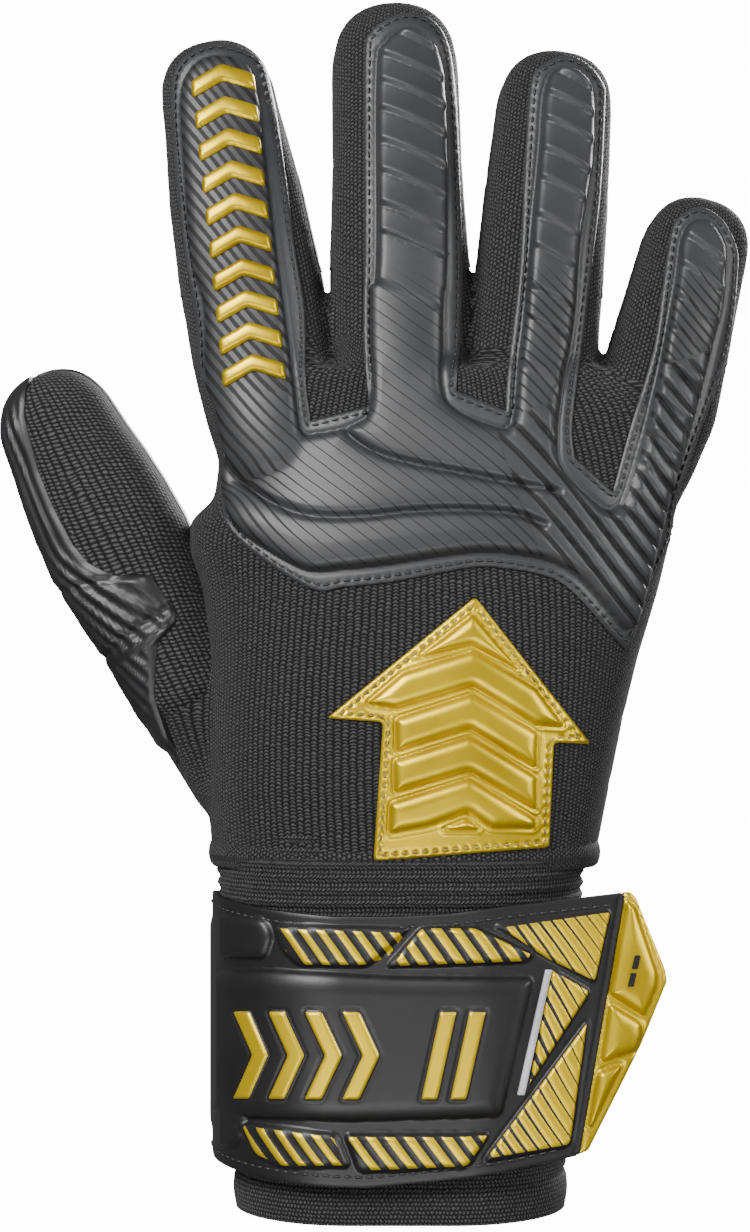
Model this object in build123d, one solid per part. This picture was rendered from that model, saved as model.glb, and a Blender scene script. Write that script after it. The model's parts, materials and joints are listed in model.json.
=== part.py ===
"""Right-hand goalkeeper glove as an assembly of its sewn pieces.

Frame: millimetres, origin at the centre of the wrist opening, +Z up along the forearm to the
fingertips, +X from the thumb side to the little finger, +Y towards the palm. The back of the hand
faces -Y. The glove keeps the shape it has on a hand, with the space for the hand left empty.
"""
import math
import os

from build123d import *

# ---------------------------------------------------------------- driving dimensions
RUN_GAP = 0.4            # clearance between two bodies at a hinge line
FAR = 200.0              # reach of a cutting block
SLIVER = 0.02            # a solid below this share of a piece's largest one is dropped

CUFF_WIDTH, CUFF_DEPTH = 72.0, 52.0        # elastic bandage at its bottom edge
WRIST_WIDTH, WRIST_DEPTH = 80.0, 53.0      # elastic bandage where it enters the hand part
WRIST_CENTRE_X = 0.5
BANDAGE_WALL = 2.2
WRIST_HINGE_Z = 72.5
WRIST_FLEX = 20.0                          # degrees each way

STRAP_BOTTOM, STRAP_TOP = 10.0, 65.5
STRAP_STAND_OFF = 2.7                      # bandage face to strap backing, filled by the two patches
BACKING, SHELL, PAD_RISE = 1.4, 1.8, 2.0   # layers of the strap
PATCH = 1.1                                # thickness of the hook patch and of the loop patch
STRAP_CORNER = 27.0
WRAP_END_X = 26.0                          # where the wrap ends on the palm side
STRAP_HINGE_Y = -3.0                       # the front part swings about the thumb side, at this depth
PEEL_X = 18.0                              # strap line that lifts first
CENTRE_PAD = (24.0, 51.5)                  # heights of the wide middle pad
LOW_PADS, HIGH_PADS = (14.0, 22.0), (53.5, 61.5)      # heights of the rows of small pads
PAD_MARGIN = 4.0                           # the pads stop this far from the strap's hinge lines
PATCH_HEIGHTS = (18, 60)                   # hook and loop patches
END_TILT = 8.0                             # the strap end leans back towards the palm
END_AT_TOP, END_AT_BOTTOM = 29.6, 20.2     # strap end from PEEL_X, along the strap
TAB_TOP, TAB_BOTTOM = 70.5, 15.5
TAB_THICKNESS, FACET_RISE = 2.2, 1.6

PALM_WALL, BACK_WALL, SIDE_WALL = 6.0, 3.0, 3.0
LINING = 1.0
KNUCKLE_PAD = 3.5
ARROW_PATCH = 1.8

HINGE_Y = 2.0            # flex lines lie a little towards the palm
FINGER_PALM, FINGER_BACK, FINGER_SIDE, FINGER_TIP = 5.0, 3.2, 2.4, 3.0
PAD_STRIP = 0.62         # share of a finger's width that its back pad covers
BAR_WIDTH, BAR_HEIGHT, BAR_RISE = 12.0, 5.5, 1.2      # each bar on the index finger
BASE_BARS, TIP_BARS = [7.0, 17.0], [6.5, 15.5, 24.5, 33.0]      # their heights in each segment
RIB_PITCH, RIB_SLANT = 5.2, 16.0           # ribs on a finger's back pad, and their lean in degrees
RIB_SHARE, RIB_RISE = 0.72, 1.0            # share of the pitch that a rib fills, and its height
TUBE_START = -14.0       # a digit's tube starts this far below its root, inside the hand
SEAM_STEP = 0.4          # the seams of a finger's strips lie this far inside its cavity's faces
APEX_SPARE = 0.9         # the side outline passes a little above the front outline at a fingertip
NOTCH_SPARE = 3.0        # degrees of extra room in each palm-side notch
STUB_DEPTH = 24.0        # how far the thumb's tube reaches into the palm, below its root

# Hand sections from wrist to knuckles: height, thumb-side x, little-finger-side x, depth.
HAND_SECTIONS = [
    (70.0, -40.0, 41.0, 52.0),
    (92.0, -41.0, 46.5, 53.0),
    (122.0, -42.0, 53.0, 51.0),
    (150.0, -40.0, 59.5, 45.0),
    (172.0, -41.5, 67.0, 39.0),
    (190.0, -44.0, 71.0, 35.0),
]


class Digit:
    """One finger or the thumb: where its root hinge is, how it leans, and its sizes."""

    def __init__(self, name, root, splay, mid, length, width, depth, flex, bend=(5.0, 9.0), twist=0.0):
        self.name, self.root, self.splay, self.twist = name, root, splay, twist
        self.mid, self.length = mid, length
        self.width, self.depth = width, depth      # (at the root, at the tip)
        self.flex, self.bend = flex, bend          # degrees: (root, middle)

    def base_frame(self):
        x, y, z = self.root
        return Pos(x, y, z) * Rot(0, self.splay, 0) * Rot(0, 0, -self.twist) * Rot(-self.bend[0], 0, 0)

    def root_frame(self):
        return self.base_frame() * Rot(self.bend[0] / 2, 0, 0)

    def tip_frame(self):
        return self.base_frame() * Pos(0, 0, self.mid) * Rot(-self.bend[1], 0, 0)

    def mid_frame(self):
        return self.base_frame() * Pos(0, 0, self.mid) * Rot(-self.bend[1] / 2, 0, 0)


DIGITS = [
    Digit("index", (-29.2, 0, 184.2), -10.3, 26.0, 73.0, (28.0, 25.0), (25.0, 20.0), (65, 75)),
    Digit("middle", (0.8, 0, 186.5), -1.2, 28.0, 78.0, (28.0, 26.0), (26.0, 21.0), (65, 75)),
    Digit("ring", (29.3, 0, 182.5), 5.6, 26.0, 71.5, (26.5, 24.0), (25.0, 20.0), (65, 75)),
    Digit("little", (56.6, 0, 174.5), 15.0, 18.5, 47.0, (26.0, 22.5), (23.0, 19.0), (65, 75)),
    Digit("thumb", (-44.8, 4.0, 112.5), -28.0, 38.0, 78.0, (30.0, 26.0), (27.0, 22.0), (30, 45), (2.0, 4.0), 10.0),
]


# ---------------------------------------------------------------- small helpers
def block(x0, x1, y0, y1, z0, z1):
    """A box given by its limits."""
    return Pos((x0 + x1) / 2, (y0 + y1) / 2, (z0 + z1) / 2) * Box(x1 - x0, y1 - y0, z1 - z0)


def outline_prism(points, y0, y1):
    """A prism along Y whose outline is given as (x, z) points."""
    face = Plane.XZ * make_face(Polyline(*points, close=True))
    return Pos(0, y1, 0) * extrude(face, amount=y1 - y0)


def profile_prism(points, x0, x1):
    """A prism along X whose outline is given as (y, z) points."""
    face = Plane.YZ * make_face(Polyline(*points, close=True))
    return Pos(x0, 0, 0) * extrude(face, amount=x1 - x0)


def solids_of(shape):
    """One compound of a shape's solids, largest first, without slivers."""
    ordered = sorted(shape.solids(), key=lambda solid: -solid.volume)
    kept = [solid for solid in ordered if solid.volume > SLIVER * ordered[0].volume]
    return Compound(children=kept) if len(kept) > 1 else kept[0]


def write(name, shape):
    shape = solids_of(shape)
    shape.label = name
    export_step(shape, f"parts/{name}.step")


def beyond_hinge(flex, side):
    """The half-space past a flex line, cut back on the palm side so that it can close by flex degrees.

    side is +1 for the far piece and -1 for the near one; local Z runs along the digit.
    """
    slope = math.tan(math.radians(flex / 2 + NOTCH_SPARE))
    gap = RUN_GAP / 2
    lip = gap + (FAR - HINGE_Y) * slope
    points = [(-FAR, gap), (HINGE_Y, gap), (FAR, lip), (FAR, FAR + lip), (-FAR, FAR + lip)]
    return profile_prism([(y, side * z) for y, z in points], -FAR, FAR)


# ---------------------------------------------------------------- fingers and thumb
def domed_outline(low, high, start, top, dome):
    """A tapering outline from start to top with a round end, dome high; low and high are its edges there."""
    return make_face(
        [
            Line((high[0], top - dome), (low[0], start)),
            Line((low[0], start), (low[1], start)),
            Line((low[1], start), (high[1], top - dome)),
            ThreePointArc((high[1], top - dome), ((high[0] + high[1]) / 2, top), (high[0], top - dome)),
        ]
    )


def tapered(width, depth, length, rounded_tip, grow=(0.0, 0.0, 0.0, 0.0)):
    """A digit's closed form along Z. grow is added at (sides, back, palm, tip); negative makes the cavity."""
    side, back, palm, tip = grow
    w0, w1 = width[0] / 2 + side, width[1] / 2 + side
    b0, b1 = -depth[0] / 2 - back, -depth[1] / 2 - back
    p0, p1 = depth[0] / 2 + palm, depth[1] / 2 + palm
    start, top = TUBE_START, length + tip
    corner = min(8.5, (p0 - b0) / 2 - 0.5) + min(side, 0)
    section = Pos(0, (b0 + p0) / 2, start) * extrude(
        RectangleRounded(2 * w0 - 0.02, p0 - b0 - 0.02, corner), amount=top - start + 5
    )
    if rounded_tip:
        dome = w1 * 0.92
        front = domed_outline((-w0, w0), (-w1, w1), start, top, dome)
        flank = domed_outline((b0, p0), (b1, p1), start, top + APEX_SPARE, (p1 - b1) / 2 * 0.9 + APEX_SPARE)
    else:
        front = make_face(Polyline((-w1, top), (-w0, start), (w0, start), (w1, top), close=True))
        flank = make_face(Polyline((b1, top), (b0, start), (p0, start), (p1, top), close=True))
    front_solid = Pos(0, FAR, 0) * extrude(Plane.XZ * front, amount=2 * FAR)
    flank_solid = Pos(-FAR, 0, 0) * extrude(Plane.YZ * flank, amount=2 * FAR)
    return section & front_solid & flank_solid


def split_shell(shell, width, depth, strip_end):
    """Divides a digit's shell into its back pad strip, its palm latex and its knitted gusset."""
    half = width[0] / 2 * PAD_STRIP
    inner_back = -depth[1] / 2 + FINGER_BACK + SEAM_STEP
    inner_palm = depth[1] / 2 - FINGER_PALM - SEAM_STEP
    back_zone = block(-half, half, -FAR, inner_back, -FAR, strip_end)
    palm_zone = block(-FAR, FAR, inner_palm, FAR, -FAR, strip_end + 1.6)
    back = shell & back_zone
    palm = shell & palm_zone
    gusset = shell - back_zone - palm_zone
    return back, palm, gusset


def raised_ribs(width, depth, start, stop):
    """Low leaning ribs across a back pad strip between two heights, as a list of blocks."""
    half = width[1] / 2 * PAD_STRIP - 1.0
    face = -depth[0] / 2 + 1.0
    ribs = []
    count = int((stop - start) // RIB_PITCH)
    for i in range(count):
        z = start + RIB_PITCH * (i + 0.5)
        taper = (depth[0] - depth[1]) / 2 * (z / 75.0)
        rib = Box(2 * half, 2 * RIB_RISE, RIB_PITCH * RIB_SHARE)
        ribs.append(Pos(0, face + taper - RIB_RISE, z) * Rot(0, RIB_SLANT, 0) * rib)
    return ribs


def digit_pieces(digit):
    """All CAD pieces of one digit as {node: shape}."""
    made = {}
    cavity_grow = (-FINGER_SIDE, -FINGER_BACK, -FINGER_PALM, -FINGER_TIP)
    share = digit.mid / digit.length
    mid_width = digit.width[0] + (digit.width[1] - digit.width[0]) * share
    mid_depth = digit.depth[0] + (digit.depth[1] - digit.depth[0]) * share
    base_width, base_depth = (digit.width[0], mid_width), (digit.depth[0], mid_depth)
    tip_width, tip_depth = (mid_width, digit.width[1]), (mid_depth, digit.depth[1])
    tip_length = digit.length - digit.mid

    past_root = digit.root_frame() * beyond_hinge(digit.flex[0], +1)
    before_mid = digit.mid_frame() * beyond_hinge(digit.flex[1], -1)
    past_mid = digit.mid_frame() * beyond_hinge(digit.flex[1], +1)

    base_form = tapered(base_width, base_depth, digit.mid + 10, False)
    base_cavity = tapered(base_width, base_depth, digit.mid + 20, False, cavity_grow)
    tip_form = tapered(tip_width, tip_depth, tip_length, True)
    tip_cavity = tapered(tip_width, tip_depth, tip_length, True, cavity_grow)

    segments = {
        "base": (base_form - base_cavity, digit.base_frame(), (past_root, before_mid), base_width, base_depth, FAR),
        "tip": (tip_form - tip_cavity, digit.tip_frame(), (past_mid,), tip_width, tip_depth, tip_length - 7.0),
    }
    back_name = "mesh_back" if digit.name == "thumb" else "back_pad"
    for part, (shell, frame, limits, width, depth, strip_end) in segments.items():
        back, palm, gusset = split_shell(shell, width, depth, strip_end)
        if back_name == "back_pad":
            stop = digit.mid - 3.0 if part == "base" else tip_length - 9.0
            for rib in raised_ribs(width, depth, 4.0, stop):
                back = back + rib
        named = {back_name: back, "palm_latex": palm, "gusset": gusset}
        for kind, shape in named.items():
            placed = frame * shape
            for limit in limits:
                placed = placed & limit
            made[f"{digit.name}_{part}_{kind}"] = placed
    return made


def index_bars(digit, pads):
    """Raised decorative bars on the back of the index finger, in two groups, resting on its pads."""
    made = {}
    groups = {
        "base": (digit.base_frame(), BASE_BARS),
        "tip": (digit.tip_frame(), TIP_BARS),
    }
    for part, (frame, heights) in groups.items():
        bars = []
        pad = pads[f"index_{part}_back_pad"]
        for z in heights:
            face = -digit.depth[0] / 2 - 1.0 + (0.9 if part == "tip" else 0.0) + z * 0.045
            bar = frame * Pos(0, face + 0.2, z) * Rot(0, RIB_SLANT, 0) * Box(BAR_WIDTH, BAR_RISE * 2, BAR_HEIGHT)
            bars.append(solids_of(bar - pad))
        made[f"index_{part}_raised_bars"] = Compound(children=bars)
    return made


# ---------------------------------------------------------------- hand part
def hand_form(grow=0.0, back=None, palm=None):
    """The hand's closed form through its sections, grown by grow all round or by back and palm in depth."""
    back = grow if back is None else back
    palm = grow if palm is None else palm
    sections = []
    for z, x0, x1, depth in HAND_SECTIONS:
        width, thick = x1 - x0 + 2 * grow, depth + back + palm
        corner = depth / 2 * 0.86 + min(grow, (back + palm) / 2)
        sketch = RectangleRounded(width, thick, min(corner, thick / 2 - 0.3))
        sections.append(Pos((x0 + x1) / 2, (palm - back) / 2, z) * sketch)
    return loft(sections)


def finger_room():
    """Everything past the finger root lines, to keep the hand part clear of the fingers."""
    room = None
    for digit in DIGITS[:4]:
        reach = {"index": (-40, 15.5), "middle": (-15.5, 15.0), "ring": (-14.5, 14.5), "little": (-14.0, 40)}
        low, high = reach[digit.name]
        near = beyond_hinge(digit.flex[0], -1)
        zone = block(low, high, -60, 60, -40, 60) - near
        placed = digit.root_frame() * zone
        room = placed if room is None else room + placed
    return room


def thumb_room(thumb):
    """The space that the thumb fills and sweeps, in the hand's thumb side."""
    half = thumb.width[0] / 2 + 1.6
    zone = block(-half, half, -thumb.depth[0] / 2 - 1.5, 60, -40, 70) - beyond_hinge(thumb.flex[0], -1)
    return thumb.root_frame() * zone


def wrist_clear(side):
    """The half-space above (+1) or below (-1) the wrist flex line, open enough to bend both ways."""
    slope = math.tan(math.radians(WRIST_FLEX / 2 + 1.0))
    gap, rise = RUN_GAP / 2, FAR * slope
    points = [(-FAR, gap + rise), (0, gap), (FAR, gap + rise), (FAR, FAR + rise), (-FAR, FAR + rise)]
    return Pos(0, 0, WRIST_HINGE_Z) * profile_prism([(y, side * z) for y, z in points], -FAR, FAR)


KNUCKLE_OUTLINE = [
    (-46, 196), (-37.5, 168), (-37.6, 156), (-35.8, 147.5), (-29, 141), (-18.2, 134.8), (-2, 136.2),
    (16.8, 139.5), (31, 137.5), (40, 131.5), (47.7, 122.1), (50.5, 127), (57.5, 144), (62, 160), (72, 196),
]
ARROW_OUTLINE = [
    (15.6, 133.1), (40.3, 102.2), (32.6, 102.2), (31.6, 80.2), (-5.5, 80.0), (-3.6, 106.6), (-15.3, 107.4),
]


def thumb_stub(thumb, inset):
    """The part of the thumb's tube that belongs to the hand, from its root flex line down into the palm."""
    width, depth = thumb.width[0], thumb.depth[0]
    sections = []
    for z, share in ((-STUB_DEPTH, 0.78), (20.0, 1.0)):
        sketch = RectangleRounded(width * share - 2 * inset, depth * share - 2 * inset, 8.5 - inset)
        sections.append(Pos(0, 0, z) * sketch)
    return thumb.base_frame() * loft(sections)


def hand_pieces():
    thumb = DIGITS[4]
    keep = wrist_clear(+1)
    cut = [finger_room(), thumb_room(thumb)]
    outer = hand_form()
    cavity = hand_form(-SIDE_WALL, -BACK_WALL, -PALM_WALL) + thumb_stub(thumb, SIDE_WALL)
    lining_inside = hand_form(-SIDE_WALL - LINING, -BACK_WALL - LINING, -PALM_WALL - LINING)
    lining_outside = hand_form(-SIDE_WALL, -BACK_WALL, -PALM_WALL) - thumb_stub(thumb, SIDE_WALL)

    def trimmed(shape):
        shape = shape & keep
        for room in cut:
            shape = shape - room
        return shape

    shell = trimmed(outer - cavity)
    palm_side = block(-FAR, FAR, 0, FAR, -FAR, FAR)
    arrow_zone = outline_prism(ARROW_OUTLINE, -FAR, 0)
    knuckle_zone = outline_prism(KNUCKLE_OUTLINE, -FAR, -8)
    return {
        "palm_latex": shell & palm_side,
        "back_of_hand_mesh": shell - palm_side,
        "palm_lining": trimmed(lining_outside - lining_inside) & palm_side,
        "thumb_saddle": trimmed(thumb_stub(thumb, 0) - outer - cavity),
        "knuckle_pad": trimmed((hand_form(KNUCKLE_PAD) - outer) & knuckle_zone),
        "arrow_patch": trimmed((hand_form(ARROW_PATCH) - outer) & arrow_zone),
    }


# ---------------------------------------------------------------- wrist and strap
def wrist_tube(grow, z0, z1):
    """The wrist's outer form between two heights, grown by grow."""
    def section(z):
        share = z / WRIST_HINGE_Z
        width = CUFF_WIDTH + (WRIST_WIDTH - CUFF_WIDTH) * share + 2 * grow
        depth = CUFF_DEPTH + (WRIST_DEPTH - CUFF_DEPTH) * share + 2 * grow
        return Pos(WRIST_CENTRE_X, 0, z) * RectangleRounded(width, depth, min(STRAP_CORNER - 2 + grow, depth / 2 - 0.3))
    return loft([section(z0), section(z1)])


def strap_ring(inner, outer, z0=STRAP_BOTTOM, z1=STRAP_TOP):
    """A straight-sided ring round the wrist between two distances from the bandage."""
    middle = (STRAP_BOTTOM + STRAP_TOP) / 2 / WRIST_HINGE_Z
    width = CUFF_WIDTH + (WRIST_WIDTH - CUFF_WIDTH) * middle
    depth = CUFF_DEPTH + (WRIST_DEPTH - CUFF_DEPTH) * middle
    rings = []
    for grow in (outer, inner):
        corner = min(STRAP_CORNER + grow, depth / 2 + grow - 0.3)
        sketch = Pos(WRIST_CENTRE_X, 0, z0) * RectangleRounded(width + 2 * grow, depth + 2 * grow, corner)
        rings.append(extrude(sketch, amount=z1 - z0))
    return rings[0] - rings[1]


def strap_faces():
    """The y of the strap's outer face at the front, and the x of its outer face at the thumb side."""
    middle = (STRAP_BOTTOM + STRAP_TOP) / 2 / WRIST_HINGE_Z
    depth = CUFF_DEPTH + (WRIST_DEPTH - CUFF_DEPTH) * middle
    width = CUFF_WIDTH + (WRIST_WIDTH - CUFF_WIDTH) * middle
    outer = STRAP_STAND_OFF + BACKING + SHELL
    return -(depth / 2 + outer), WRIST_CENTRE_X - (width / 2 + outer)


def strap_pieces():
    made = {}
    face_y, _ = strap_faces()
    inner = STRAP_STAND_OFF
    shell_in = inner + BACKING
    shell_out = shell_in + SHELL

    front_zone = block(-FAR, PEEL_X - RUN_GAP / 2, -FAR, STRAP_HINGE_Y - RUN_GAP / 2, -FAR, FAR)
    wrap_zone = block(-FAR, WRAP_END_X, STRAP_HINGE_Y + RUN_GAP / 2, FAR, -FAR, FAR)
    made["strap_wrap_backing"] = (strap_ring(0.3, shell_in) & wrap_zone) - wrist_tube(0, 0, 72)
    made["strap_wrap_shell"] = strap_ring(shell_in, shell_out) & wrap_zone
    made["strap_front_backing"] = strap_ring(inner, shell_in) & front_zone
    shell = strap_ring(shell_in, shell_out) & front_zone
    pads = strap_ring(shell_out, shell_out + PAD_RISE, *CENTRE_PAD)
    edge_pads = strap_ring(shell_out - 0.5, shell_out + PAD_RISE * 0.8, *LOW_PADS)
    edge_pads += strap_ring(shell_out - 0.5, shell_out + PAD_RISE * 0.8, *HIGH_PADS)
    pad_zone = block(-FAR, PEEL_X - PAD_MARGIN, -FAR, STRAP_HINGE_Y - PAD_MARGIN, -FAR, FAR)
    made["strap_front_shell"] = shell + (edge_pads & pad_zone)
    made["strap_centre_pad"] = pads & pad_zone

    # The strap end is flat and lies in its own frame: X along the strap, -Y outwards.
    end_frame = Pos(PEEL_X, face_y, 0) * Rot(0, 0, END_TILT)

    def end_x(z):
        share = (z - TAB_BOTTOM) / (TAB_TOP - TAB_BOTTOM)
        return END_AT_BOTTOM + (END_AT_TOP - END_AT_BOTTOM) * share

    gap = RUN_GAP / 2
    start = gap + 0.2
    strap_outline = [
        (start, STRAP_BOTTOM + 1), (end_x(TAB_BOTTOM) - gap, TAB_BOTTOM),
        (end_x(TAB_TOP - 1.5) - gap, TAB_TOP - 1.5), (start, STRAP_TOP),
    ]
    made["strap_end_shell"] = end_frame * outline_prism(strap_outline, 0, SHELL)
    made["strap_end_backing"] = end_frame * outline_prism(strap_outline, SHELL, SHELL + BACKING)
    strip = [(3.2, 22), (4.8, 22), (9.6, 50), (8.0, 50)]
    made["reflective_strip"] = end_frame * outline_prism(strip, -0.5, 0)
    hook = block(3, 17, SHELL + BACKING, SHELL + BACKING + PATCH, *PATCH_HEIGHTS)
    made["hook_patch"] = end_frame * hook
    wrist_face = wrist_tube(3.0, *PATCH_HEIGHTS) & block(PEEL_X + 2, FAR, -FAR, -4, -FAR, FAR)
    under = end_frame * block(0, 15, SHELL + BACKING + PATCH + 0.4, 20, *PATCH_HEIGHTS)
    made["loop_patch"] = (wrist_face - wrist_tube(0.0, 0, 72)) & under

    def tab_x(z):
        return end_x(z) + gap

    tab_outline = [
        (tab_x(TAB_BOTTOM), TAB_BOTTOM), (tab_x(TAB_TOP), TAB_TOP), (33.0, 68.3),
        (38.9, 53.7), (37.2, 47.2), (33.2, 37.2), (21.9, 15.7),
    ]
    tab = outline_prism(tab_outline, 0, TAB_THICKNESS)
    facets = [
        [(29.4, 66.5), (31.5, 66.0), (36.5, 53.5), (34.5, 48.5), (28.6, 49.5)],
        [(27.9, 47.5), (33.5, 45.5), (31.5, 39.0), (26.0, 36.5)],
        [(25.6, 34.0), (29.5, 33.5), (23.5, 22.0)],
    ]
    for facet in facets:
        tab = tab + outline_prism(facet, -FACET_RISE, 1.0)
    made["pull_tab"] = end_frame * tab
    return made


def cuff_pieces():
    bandage = wrist_tube(0, 0, 76) - (wrist_tube(-BANDAGE_WALL, 0, 76) + wrist_tube(-BANDAGE_WALL, -2, 1))
    return {"elastic_bandage": bandage & wrist_clear(-1)}


# ---------------------------------------------------------------- build
def hinge_report():
    """Prints each hinge's point and axis in metres, for the record."""
    for digit in DIGITS:
        for name, frame in (("root", digit.root_frame()), ("mid", digit.mid_frame())):
            at = frame * Pos(0, HINGE_Y, 0)
            tip = frame * Pos(-1, HINGE_Y, 0)
            p, q = at.position, tip.position
            print(digit.name, name, [round(v / 1000, 6) for v in p], [round(v, 6) for v in (q - p)])
    face_y, hinge_x = strap_faces()
    end_frame = Pos(PEEL_X, face_y, 0) * Rot(0, 0, END_TILT)
    low = (end_frame * Pos(END_AT_BOTTOM, 0, TAB_BOTTOM)).position
    high = (end_frame * Pos(END_AT_TOP, 0, TAB_TOP)).position
    print("strap hinge", round(hinge_x, 3), STRAP_HINGE_Y, "peel", PEEL_X, round(face_y, 3))
    print("tab", [round(v / 1000, 6) for v in low], [round(v, 6) for v in (low - high).normalized()])


def main():
    os.makedirs("parts", exist_ok=True)
    made = {}
    made.update(cuff_pieces())
    made.update(strap_pieces())
    made.update(hand_pieces())
    for digit in DIGITS:
        made.update(digit_pieces(digit))
    made.update(index_bars(DIGITS[0], made))
    for name, shape in made.items():
        write(name, shape)
    hinge_report()


main()
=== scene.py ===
import json
import math

import bmesh
import bpy
import numpy as np
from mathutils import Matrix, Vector
from mathutils.bvhtree import BVHTree
from mathutils.geometry import delaunay_2d_cdt


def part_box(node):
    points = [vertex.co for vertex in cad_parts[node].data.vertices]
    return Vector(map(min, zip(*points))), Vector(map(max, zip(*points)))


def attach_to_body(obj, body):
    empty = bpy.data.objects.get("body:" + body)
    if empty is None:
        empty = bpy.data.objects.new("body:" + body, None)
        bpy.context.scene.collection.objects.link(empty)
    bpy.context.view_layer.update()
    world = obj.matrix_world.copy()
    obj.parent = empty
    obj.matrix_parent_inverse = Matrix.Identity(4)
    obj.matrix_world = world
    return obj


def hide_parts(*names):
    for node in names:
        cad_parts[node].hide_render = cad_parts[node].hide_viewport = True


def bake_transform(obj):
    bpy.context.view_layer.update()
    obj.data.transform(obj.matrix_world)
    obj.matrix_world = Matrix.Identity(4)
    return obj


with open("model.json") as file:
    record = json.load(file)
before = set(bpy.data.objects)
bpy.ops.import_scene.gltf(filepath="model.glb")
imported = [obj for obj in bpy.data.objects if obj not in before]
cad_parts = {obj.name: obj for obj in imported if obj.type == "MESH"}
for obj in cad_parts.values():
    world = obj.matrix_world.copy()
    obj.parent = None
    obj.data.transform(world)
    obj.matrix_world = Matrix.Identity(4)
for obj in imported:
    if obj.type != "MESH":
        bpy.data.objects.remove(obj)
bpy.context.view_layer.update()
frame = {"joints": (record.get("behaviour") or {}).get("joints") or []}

# ---------------------------------------------------------------- viewpoint
EYE = np.array([-5.07, -650.0, 129.1])       # mm
FIELD_HEIGHT = 271.5                         # what the view's height covers at y = 0, mm


def seen(points):
    """Front coordinates (x, z) of points (n, 3), as seen from the viewpoint."""
    scale = -EYE[1] / (points[:, 1] - EYE[1])
    return np.stack([EYE[0] + (points[:, 0] - EYE[0]) * scale, EYE[2] + (points[:, 2] - EYE[2]) * scale], axis=1)


# ---------------------------------------------------------------- small numeric helpers
def unit(v):
    """A vector, or each row of an array of vectors, at length 1."""
    v = np.asarray(v, float)
    return v / np.linalg.norm(v, axis=-1, keepdims=True)


def smooth(x, low, high):
    """Smooth step from 0 at low to 1 at high."""
    t = np.clip((np.asarray(x, float) - low) / (high - low), 0, 1)
    return t * t * (3 - 2 * t)


def spline(points, step=1.0, closed=False):
    """A Catmull-Rom curve through points; a point with a third value 1 is a corner."""
    pts = [np.array(p[:2], float) for p in points]
    sharp = [len(p) > 2 and p[2] == 1 for p in points]
    n = len(pts)
    out = []
    for i in range(n if closed else n - 1):
        p1, p2 = pts[i], pts[(i + 1) % n]
        p0 = pts[i - 1] if (closed or i > 0) and not sharp[i] else 2 * p1 - p2
        if not sharp[(i + 1) % n] and (closed or i + 2 < n):
            p3 = pts[(i + 2) % n]
        else:
            p3 = 2 * p2 - p1
        count = max(1, int(np.linalg.norm(p2 - p1) / step))
        for k in range(count):
            t = k / count
            a = 2 * p1 + (p2 - p0) * t
            b = (2 * p0 - 5 * p1 + 4 * p2 - p3) * t * t
            c = (3 * p1 - p0 - 3 * p2 + p3) * t ** 3
            out.append((a + b + c) / 2)
    if not closed:
        out.append(pts[-1])
    return np.array(out)


def rounded(points, radius, step=0.7):
    """A closed outline with straight sides and every corner rounded by about radius."""
    out = []
    n = len(points)
    for i in range(n):
        p = np.array(points[i], float)
        a = np.array(points[i - 1], float) - p
        b = np.array(points[(i + 1) % n], float) - p
        ra = min(radius, np.linalg.norm(a) * 0.45)
        rb = min(radius, np.linalg.norm(b) * 0.45)
        start, end = p + unit(a) * ra, p + unit(b) * rb
        for k in range(5):
            t = k / 4
            out.append((1 - t) ** 2 * start + 2 * t * (1 - t) * p + t * t * end)
    dense = []
    for i, p in enumerate(out):
        q = out[(i + 1) % len(out)]
        count = max(1, int(np.linalg.norm(q - p) / step))
        dense += [p + (q - p) * k / count for k in range(count)]
    return np.array(dense)


def distance_to(points, line, closed=False):
    """Distance of each 2D point to a polyline, with the position along it and the signed side."""
    a = line
    b = np.roll(line, -1, axis=0)
    if not closed:
        a, b = a[:-1], b[:-1]
    ab = b - a
    lengths = np.linalg.norm(ab, axis=1) + 1e-12
    starts = np.concatenate([[0], np.cumsum(lengths)[:-1]])
    best = np.full(len(points), 1e9)
    along = np.zeros(len(points))
    side = np.zeros(len(points))
    for lo in range(0, len(points), 4000):
        p = points[lo:lo + 4000]
        ap = p[:, None, :] - a[None]
        t = np.clip((ap * ab[None]).sum(2) / (lengths ** 2)[None], 0, 1)
        d = np.linalg.norm(ap - t[:, :, None] * ab[None], axis=2)
        k = d.argmin(axis=1)
        row = np.arange(len(p))
        best[lo:lo + 4000] = d[row, k]
        along[lo:lo + 4000] = starts[k] + t[row, k] * lengths[k]
        cross = ab[k, 0] * ap[row, k, 1] - ab[k, 1] * ap[row, k, 0]
        side[lo:lo + 4000] = np.sign(cross)
    return best, along, side


def inside(points, outline):
    """Which 2D points lie inside a closed outline."""
    x, y = points[:, 0], points[:, 1]
    hit = np.zeros(len(points), bool)
    n = len(outline)
    for i in range(n):
        x0, y0 = outline[i]
        x1, y1 = outline[(i + 1) % n]
        crosses = (y0 > y) != (y1 > y)
        with np.errstate(divide="ignore", invalid="ignore"):
            at = x0 + (y - y0) * (x1 - x0) / (y1 - y0)
        hit ^= crosses & (x < at)
    return hit


def offset_line(outline, inset):
    """A closed outline moved inwards, without the loops that this makes at tight corners."""
    ahead, behind = np.roll(outline, -1, axis=0), np.roll(outline, 1, axis=0)
    tangent = unit(ahead - behind)
    normal = np.stack([tangent[:, 1], -tangent[:, 0]], axis=1)
    area = (outline[:, 0] * ahead[:, 1] - ahead[:, 0] * outline[:, 1]).sum()
    moved = outline - math.copysign(inset, area) * normal
    good = np.abs(distance_to(moved, outline, closed=True)[0] - inset) < 0.12
    return moved[good & inside(moved, outline)]


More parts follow.
